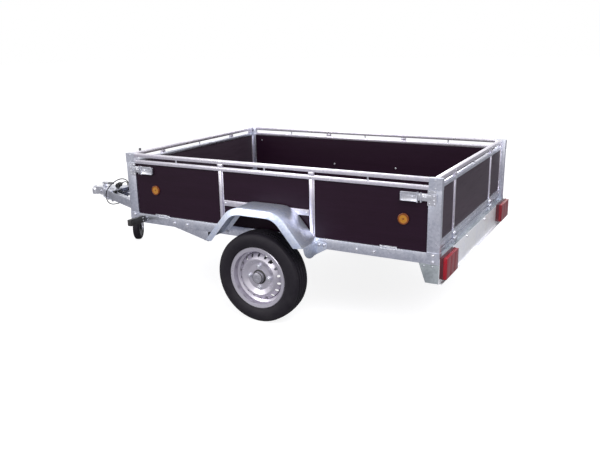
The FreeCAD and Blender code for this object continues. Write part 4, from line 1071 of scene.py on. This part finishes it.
def make_reflector_rings():
    """A turned rim with its groove and a low boss on each round side reflector."""
    rims = bmesh.new()
    bosses = bmesh.new()
    radius = (reflector_high.z - reflector_low.z) / 2
    height = (reflector_low.z + reflector_high.z) / 2
    rim = [(-0.0075, radius + 0.0015), (0.0005, radius + 0.0015), (0.0016, radius),
           (0.0016, radius - 0.003), (0.0006, radius - 0.0065), (-0.0002, radius - 0.0065)]
    for x in (reflector_low.x + radius, reflector_high.x - radius):
        for side in (1, -1):
            seat = Vector((x, reflector_high.y * side, height))
            add_lathe(rims, seat, LEFT * side, rim, 48)
            add_round_head(bosses, seat, LEFT * side, 0.0045, 0.0014)
    add_piece(rims, "reflector_rims", "root", dark_amber, 40)
    add_piece(bosses, "reflector_bosses", "root", dark_amber, 30)


# Wheels

HUB_OUT = 0.030
BOLT_COUNT = 4
BOLT_CIRCLE = 0.065
VALVE_ANGLE = 2.2
VALVE_RADIUS = 0.1395
VALVE_OUT = 0.012
VALVE_LEAN = 0.35
# Turned outlines: (distance outwards from the hub's seat or the valve's foot, radius)
CAP_PROFILE = [
    (0.0080, 0.0354), (0.0262, 0.0354), (0.0268, 0.0318), (0.0305, 0.0305), (0.0315, 0.0275),
    (0.0311, 0.0262), (0.0315, 0.0245), (0.0325, 0.017), (0.0329, 0.010), (0.0323, 0.0088),
    (0.0327, 0.0072), (0.0328, 0)]
# Black rings in the gap between the cap and the wheel's centre hole, and on the cap's shoulder: painted
# shade.
GAP_SHADE_RING_PROFILE = [(0.0045, 0.0356), (0.0045, 0.0435), (0.0065, 0.0435), (0.0085, 0.041), (0.0085, 0.0352)]
CAP_SHADE_BAND_PROFILE = [(0.0262, 0.0345), (0.0285, 0.0342), (0.0305, 0.0322), (0.0302, 0.0305)]
VALVE_PROFILE = [(0, 0.0075), (0.004, 0.0075), (0.007, 0.0048), (0.026, 0.0043),
                 (0.026, 0.0052), (0.036, 0.0052), (0.0375, 0.004), (0.0375, 0)]


def make_wheel_parts(side):
    """Hexagon bolt heads, the dust cap's pressed cover, black rings in the gap round the cap and on its
    shoulder as painted shade, and the valve.
    """
    word = side_word(side)
    body = "wheel_" + word
    out = LEFT * side
    hub = Vector((wheel_centre.x, 0, wheel_centre.z))
    seat = wheel_centre.y + HUB_OUT
    bolts = bmesh.new()
    for i in range(BOLT_COUNT):
        turn = Matrix.Rotation(2 * math.pi / BOLT_COUNT * i, 3, LEFT)
        place = hub + turn @ Vector((BOLT_CIRCLE, 0, 0)) + out * (seat + 0.0043)
        add_rod(bolts, place, out, 0.003, 0.0145, 28)
        add_rod(bolts, place + out * 0.003, out, 0.0085, 0.0119, 6)
        add_rod(bolts, place + out * 0.0115, out, 0.0022, 0.0105, 24, 0.008)
    add_hardware(bolts, "wheel_bolts_" + word, body)
    cap = bmesh.new()
    add_lathe(cap, hub + out * seat, out, CAP_PROFILE, 56)
    add_piece(cap, "hub_cap_" + word, body, cap_steel)
    # Black plastic rings that stand in for the shade round the cap and on its shoulder: painted shade.
    shade_rings = bmesh.new()
    for profile in (GAP_SHADE_RING_PROFILE, CAP_SHADE_BAND_PROFILE):
        add_lathe(shade_rings, hub + out * seat, out, profile, 56)
    add_piece(shade_rings, "hub_shade_rings_" + word, body, black_plastic)
    valve = bmesh.new()
    away = Vector((math.cos(VALVE_ANGLE), 0, math.sin(VALVE_ANGLE)))
    stem = hub + away * VALVE_RADIUS + out * (wheel_centre.y + VALVE_OUT)
    add_lathe(valve, stem, out - away * VALVE_LEAN, VALVE_PROFILE, 20)
    add_piece(valve, "valve_" + word, body, black_plastic)


# Drawbar and coupling

DRAWBAR_REACH = 3.167
DRAWBAR_SLOPE = 724 / 1706
COUPLING_SHANK_HALF = 0.028
ARM_HALF = 0.02
PLATE_BOLTS_BACK = (0.250, 0.165)
SHANK_BOLTS_BACK = (0.105, 0.047)
ARM_BOLTS_BEHIND_HEAD = (0.02, 0.55)
PLATE_WELD_BACK = (0.262, 0.128)
drawbar_point = Vector((tail_face + DRAWBAR_REACH, 0, arms_high.z))


def arm_place(back, z, side, shift=0.0):
    """A point on an arm's centre line, or beside it, at a distance behind the drawbar's point."""
    return Vector((drawbar_point.x - back, (back * DRAWBAR_SLOPE + shift) * side, z))


def make_drawbar_bolts():
    """Bolts and nuts through the head plates, the coupling's shank and the arms' rear ends."""
    bm = bmesh.new()
    for back in PLATE_BOLTS_BACK:
        for side in (1, -1):
            top, low = (arm_place(back, z, side) for z in (plate_high.z, plate_low.z))
            through_bolt(bm, top, low, UP, 0.017)
    for back in SHANK_BOLTS_BACK:
        shank = Vector((drawbar_point.x - back, 0, (arms_low.z + arms_high.z) / 2))
        reach = LEFT * COUPLING_SHANK_HALF
        through_bolt(bm, shank + reach, shank - reach, LEFT, 0.016)
    for behind in ARM_BOLTS_BEHIND_HEAD:
        for side in (1, -1):
            back = drawbar_point.x - head_face + behind
            add_bolt(bm, arm_place(back, arms_low.z, side), -UP, *M10)
    add_hardware(bm, "drawbar_bolts")


def make_drawbar_welds():
    """Weld runs where the head plates lie on the arms."""
    bm = bmesh.new()
    edge = ARM_HALF / math.cos(math.atan(DRAWBAR_SLOPE))
    for z in (plate_high.z - 0.006, plate_low.z + 0.006):
        for side in (1, -1):
            start, end = (arm_place(back, z, side, edge) for back in PLATE_WELD_BACK)
            add_weld(bm, start, end)
    add_piece(bm, "drawbar_welds", "root", galvanised, 60)


def make_coupling_parts():
    """The lever's pivot pin, ribs and spring catch, and the rolled rim of the cup."""
    bm = bmesh.new()
    top = lever_high.z
    for side in (1, -1):
        side_rivet(bm, side, lever_high.x - 0.011, 0.013, lever_low.z + 0.021, 0.0075, 0.004)
    for side in (1, -1):
        add_box(bm, (lever_low.x + 0.004, 0.013 * side, top - 0.013),
                (lever_high.x - 0.020, 0.0118 * side, top - 0.018))
    add_box(bm, (lever_low.x + 0.012, -0.005, top - 0.0135), (lever_low.x + 0.060, 0.005, top - 0.019))
    add_rod(bm, (lever_low.x + 0.036, 0, top - 0.032), UP, 0.014, 0.0045, 16)
    cup = (coupling_high.x - 0.036, 0, coupling_low.z)
    rim = [(0, 0.0358), (0.004, 0.0358), (0.0055, 0.0342), (0.0055, 0.0262), (0, 0.0262)]
    add_lathe(bm, cup, UP, rim, 40, closed=True)
    add_hardware(bm, "coupling_parts")


def make_lever_grip():
    """A soft sleeve over the free end of the coupling's lever."""
    bm = bmesh.new()
    add_box(bm, (lever_low.x - 0.0005, -0.0142, lever_high.z - 0.0152),
            (lever_low.x + 0.046, 0.0142, lever_high.z + 0.0008))
    bevel_edges(bm, bm.edges[:], 0.0032, 3)
    add_piece(bm, "lever_grip", "root", grey_plastic, 60)


# Jockey wheel

JOCKEY_TUBE_LENGTH = 0.330
TUBE_WALL_INSIDE = 0.0238
RUNNING_GAP = 0.0003
tube_top = jack_low.z + JOCKEY_TUBE_LENGTH
jockey_centre = Vector(((leg_low.x + leg_high.x) / 2, (leg_low.y + leg_high.y) / 2, 0))
caster_hub = (caster_low + caster_high) / 2
caster_trail = caster_hub - jockey_centre
caster_axle = UP.cross(Vector((caster_trail.x, caster_trail.y, 0))).normalized()


def make_jockey_parts():
    """Collars on the tube, its cap, and the crank's boss and nut."""
    bm = bmesh.new()
    for z, height, radius in ((jack_low.z, 0.008, 0.0262), (tube_top - 0.010, 0.010, 0.0272),
                              (tube_top - 0.062, 0.004, 0.0255)):
        collar = [(0, TUBE_WALL_INSIDE), (0, radius), (height, radius), (height, TUBE_WALL_INSIDE)]
        add_lathe(bm, jockey_centre + UP * z, UP, collar, 40)
    cap = [(0, 0.0245), (0.0025, 0.0225), (0.0035, 0.013), (0.0035, 0.0085)]
    add_lathe(bm, jockey_centre + UP * (tube_top + 0.0005), UP, cap, 40)
    add_bolt(bm, jockey_centre + UP * (tube_top + 0.022), UP, *M8)
    add_rod(bm, jockey_centre + UP * (tube_top + 0.0035), UP, 0.015, 0.0115, 28)
    add_hardware(bm, "jockey_parts")


def make_crank_grip():
    """The ribbed plastic sleeve that turns on the crank."""
    bm = bmesh.new()
    foot = Vector((jockey_centre.x, jack_low.y + 0.010, tube_top + 0.0025))
    profile = [(-0.0005, 0.0085), (0, 0.0104)]
    for i in range(8):
        rib = 0.006 + 0.0072 * i
        profile += [(rib, 0.0108), (rib + 0.0012, 0.0102), (rib + 0.0032, 0.0102), (rib + 0.0044, 0.0108)]
    profile += [(0.0685, 0.0104), (0.0705, 0.0085), (0.0707, 0)]
    add_lathe(bm, foot, UP, profile, 28)
    add_piece(bm, "crank_grip", "root", grey_plastic)


def make_fork_parts():
    """The swivel's race on the leg, the fork's disc under it and the nuts on the wheel's axle."""
    race = [(0, 0.0202), (0, 0.0265), (0.006, 0.0265), (0.009, 0.0235), (0.009, 0.0202)]
    races = bmesh.new()
    add_lathe(races, jockey_centre + UP * (leg_low.z + RUNNING_GAP), UP, race, 40)
    add_hardware(races, "swivel_race", "jockey_leg", 35)
    nuts = bmesh.new()
    for side in (1, -1):
        add_bolt(nuts, caster_hub + caster_axle * 0.038 * side, caster_axle * side, *CASTER_NUT)
    disc = [(0, 0), (0, 0.024), (0.0075, 0.024)]
    add_lathe(nuts, jockey_centre + UP * (leg_low.z - RUNNING_GAP - 0.012), UP, disc, 36)
    add_hardware(nuts, "fork_nuts", "jockey_fork")


def make_caster():
    """Grey hub discs with a star of ribs, on both sides of the small wheel."""
    bm = bmesh.new()
    disc = [(0.0195, 0.0195), (0.0205, 0.0225), (0.0205, 0.058), (0.0225, 0.0605),
            (0.0225, 0.0645), (0.0198, 0.0655)]
    for side in (1, -1):
        aim = caster_axle * side
        add_lathe(bm, caster_hub, aim, disc, 48)
        for i in range(6):
            spoke = Matrix.Rotation(2 * math.pi / 6 * i, 3, aim) @ UP
            add_rod(bm, caster_hub + aim * 0.0205 + spoke * 0.022, spoke, 0.038, 0.0028, 8)
    add_piece(bm, "caster_hub", "jockey_wheel", grey_plastic)


# Electric cable, with its route from the drawbar's point

CABLE_RADIUS = 0.00375
CABLE_ROUTE = [
    (-0.3472, 0.14735, 0.0168), (-0.382, 0.162, 0.027), (-0.418, 0.175, 0.030), (-0.452, 0.184, 0.0275),
    (-0.487, 0.188, 0.030), (-0.514, 0.184, 0.057), (-0.514, 0.176, 0.095), (-0.486, 0.167, 0.122),
    (-0.446, 0.157, 0.127), (-0.405, 0.147, 0.123), (-0.364, 0.139, 0.111), (-0.324, 0.132, 0.093),
    (-0.287, 0.127, 0.071), (-0.250, 0.125, 0.044), (-0.218, 0.1255, 0.013), (-0.201, 0.126, -0.025),
    (-0.199, 0.125, -0.063), (-0.204, 0.114, -0.098), (-0.212, 0.085, -0.119), (-0.218, 0.048, -0.124),
    (-0.221, 0.008, -0.125), (-0.220, -0.032, -0.126), (-0.216, -0.070, -0.122), (-0.210, -0.103, -0.108),
    (-0.204, -0.121, -0.079), (-0.201, -0.124, -0.042), (-0.204, -0.128, -0.007), (-0.210, -0.117, 0.027),
    (-0.217, -0.086, 0.043), (-0.224, -0.049, 0.0377)]


def make_plug(start, along):
    """Rings on the plug's boot, ridges on its body, a locating lug and the contact pins."""
    along = along.normalized()
    bm = bmesh.new()
    for i in range(4):
        radius = 0.0068 + 0.0007 * i
        ring = [(0, radius - 0.002), (0, radius), (0.0026, radius + 0.0003), (0.0026, radius - 0.002)]
        add_lathe(bm, start + along * (0.003 + 0.0052 * i), along, ring, 24)
    add_ribs(bm, start + along * 0.036, along, 16, 0.0187, 0.030, 0.0011)
    mouth = [(-0.004, 0.0172), (0.0006, 0.0172), (0.0006, 0.0135), (-0.004, 0.0135)]
    add_lathe(bm, start + along * 0.085, along, mouth, 32, closed=True)
    lug = along.cross(along.orthogonal()).normalized()
    add_rod(bm, start + along * 0.0755 + lug * 0.0165, along, 0.0092, 0.0018, 10)
    for count, ring in ((6, 0.0088), (1, 0.0)):
        add_ribs(bm, start + along * 0.0845, along, count, ring, 0.0007, 0.0022, 12)
    return add_piece(bm, "plug_ridges", "root", black_plastic)


def make_gland_nut(end, along):
    """The gland's ribbed nut and its collar, behind the point where the cable comes out."""
    along = along.normalized()
    bm = bmesh.new()
    add_ribs(bm, end - along * 0.026, along, 12, 0.0076, 0.014, 0.0011)
    collar = [(0, 0.0078), (0, 0.0092), (0.0022, 0.0092), (0.0022, 0.0078)]
    add_lathe(bm, end - along * 0.0275, along, collar, 28)
    return add_piece(bm, "gland_ridges", "root", black_plastic)


def make_cable():
    """One smooth rubber cord from the gland on the left arm to the plug on the head plates."""
    points = [drawbar_point + Vector(point) for point in CABLE_ROUTE]
    data = bpy.data.curves.new("cable_lead", "CURVE")
    data.dimensions = "3D"
    data.bevel_depth = CABLE_RADIUS
    data.bevel_resolution = 4
    data.resolution_u = 12
    data.use_fill_caps = True
    line = data.splines.new("NURBS")
    line.points.add(len(points) - 1)
    for control, point in zip(line.points, points):
        control.co = (*point, 1)
    line.order_u = 3
    line.use_endpoint_u = True
    data.materials.append(cable_rubber)
    cable = bpy.data.objects.new("cable_lead", data)
    scene.collection.objects.link(cable)
    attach(cable, "root")
    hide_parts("cable")
    plug = make_plug(points[-1], points[-1] - points[-2])
    nut = make_gland_nut(points[0], points[1] - points[0])


make_camera()
make_world()
make_floor()
make_lamps()
finish_nodes()
for side in (1, -1):
    make_tyre(side)
    make_wheel_parts(side)
for lens in [make_tail_lamp(side) for side in (1, -1)]:
    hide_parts("tail_lamps")
make_frame_bolts()
make_inner_bolts()
make_post_plates()
make_net_hooks()
make_lashing_loops()
make_latch_parts()
make_floor_screws()
make_gate_hardware("tailgate", tail_face, -1)
make_gate_hardware("front_gate", head_face, 1)
make_hinge_bolts()
make_guard_bolts()
make_axle_hardware()
make_lamp_rims()
make_lamp_bolts()
make_reflector_rings()
make_drawbar_bolts()
make_drawbar_welds()
make_coupling_parts()
make_lever_grip()
make_jockey_parts()
make_crank_grip()
make_fork_parts()
make_caster()
make_cable()
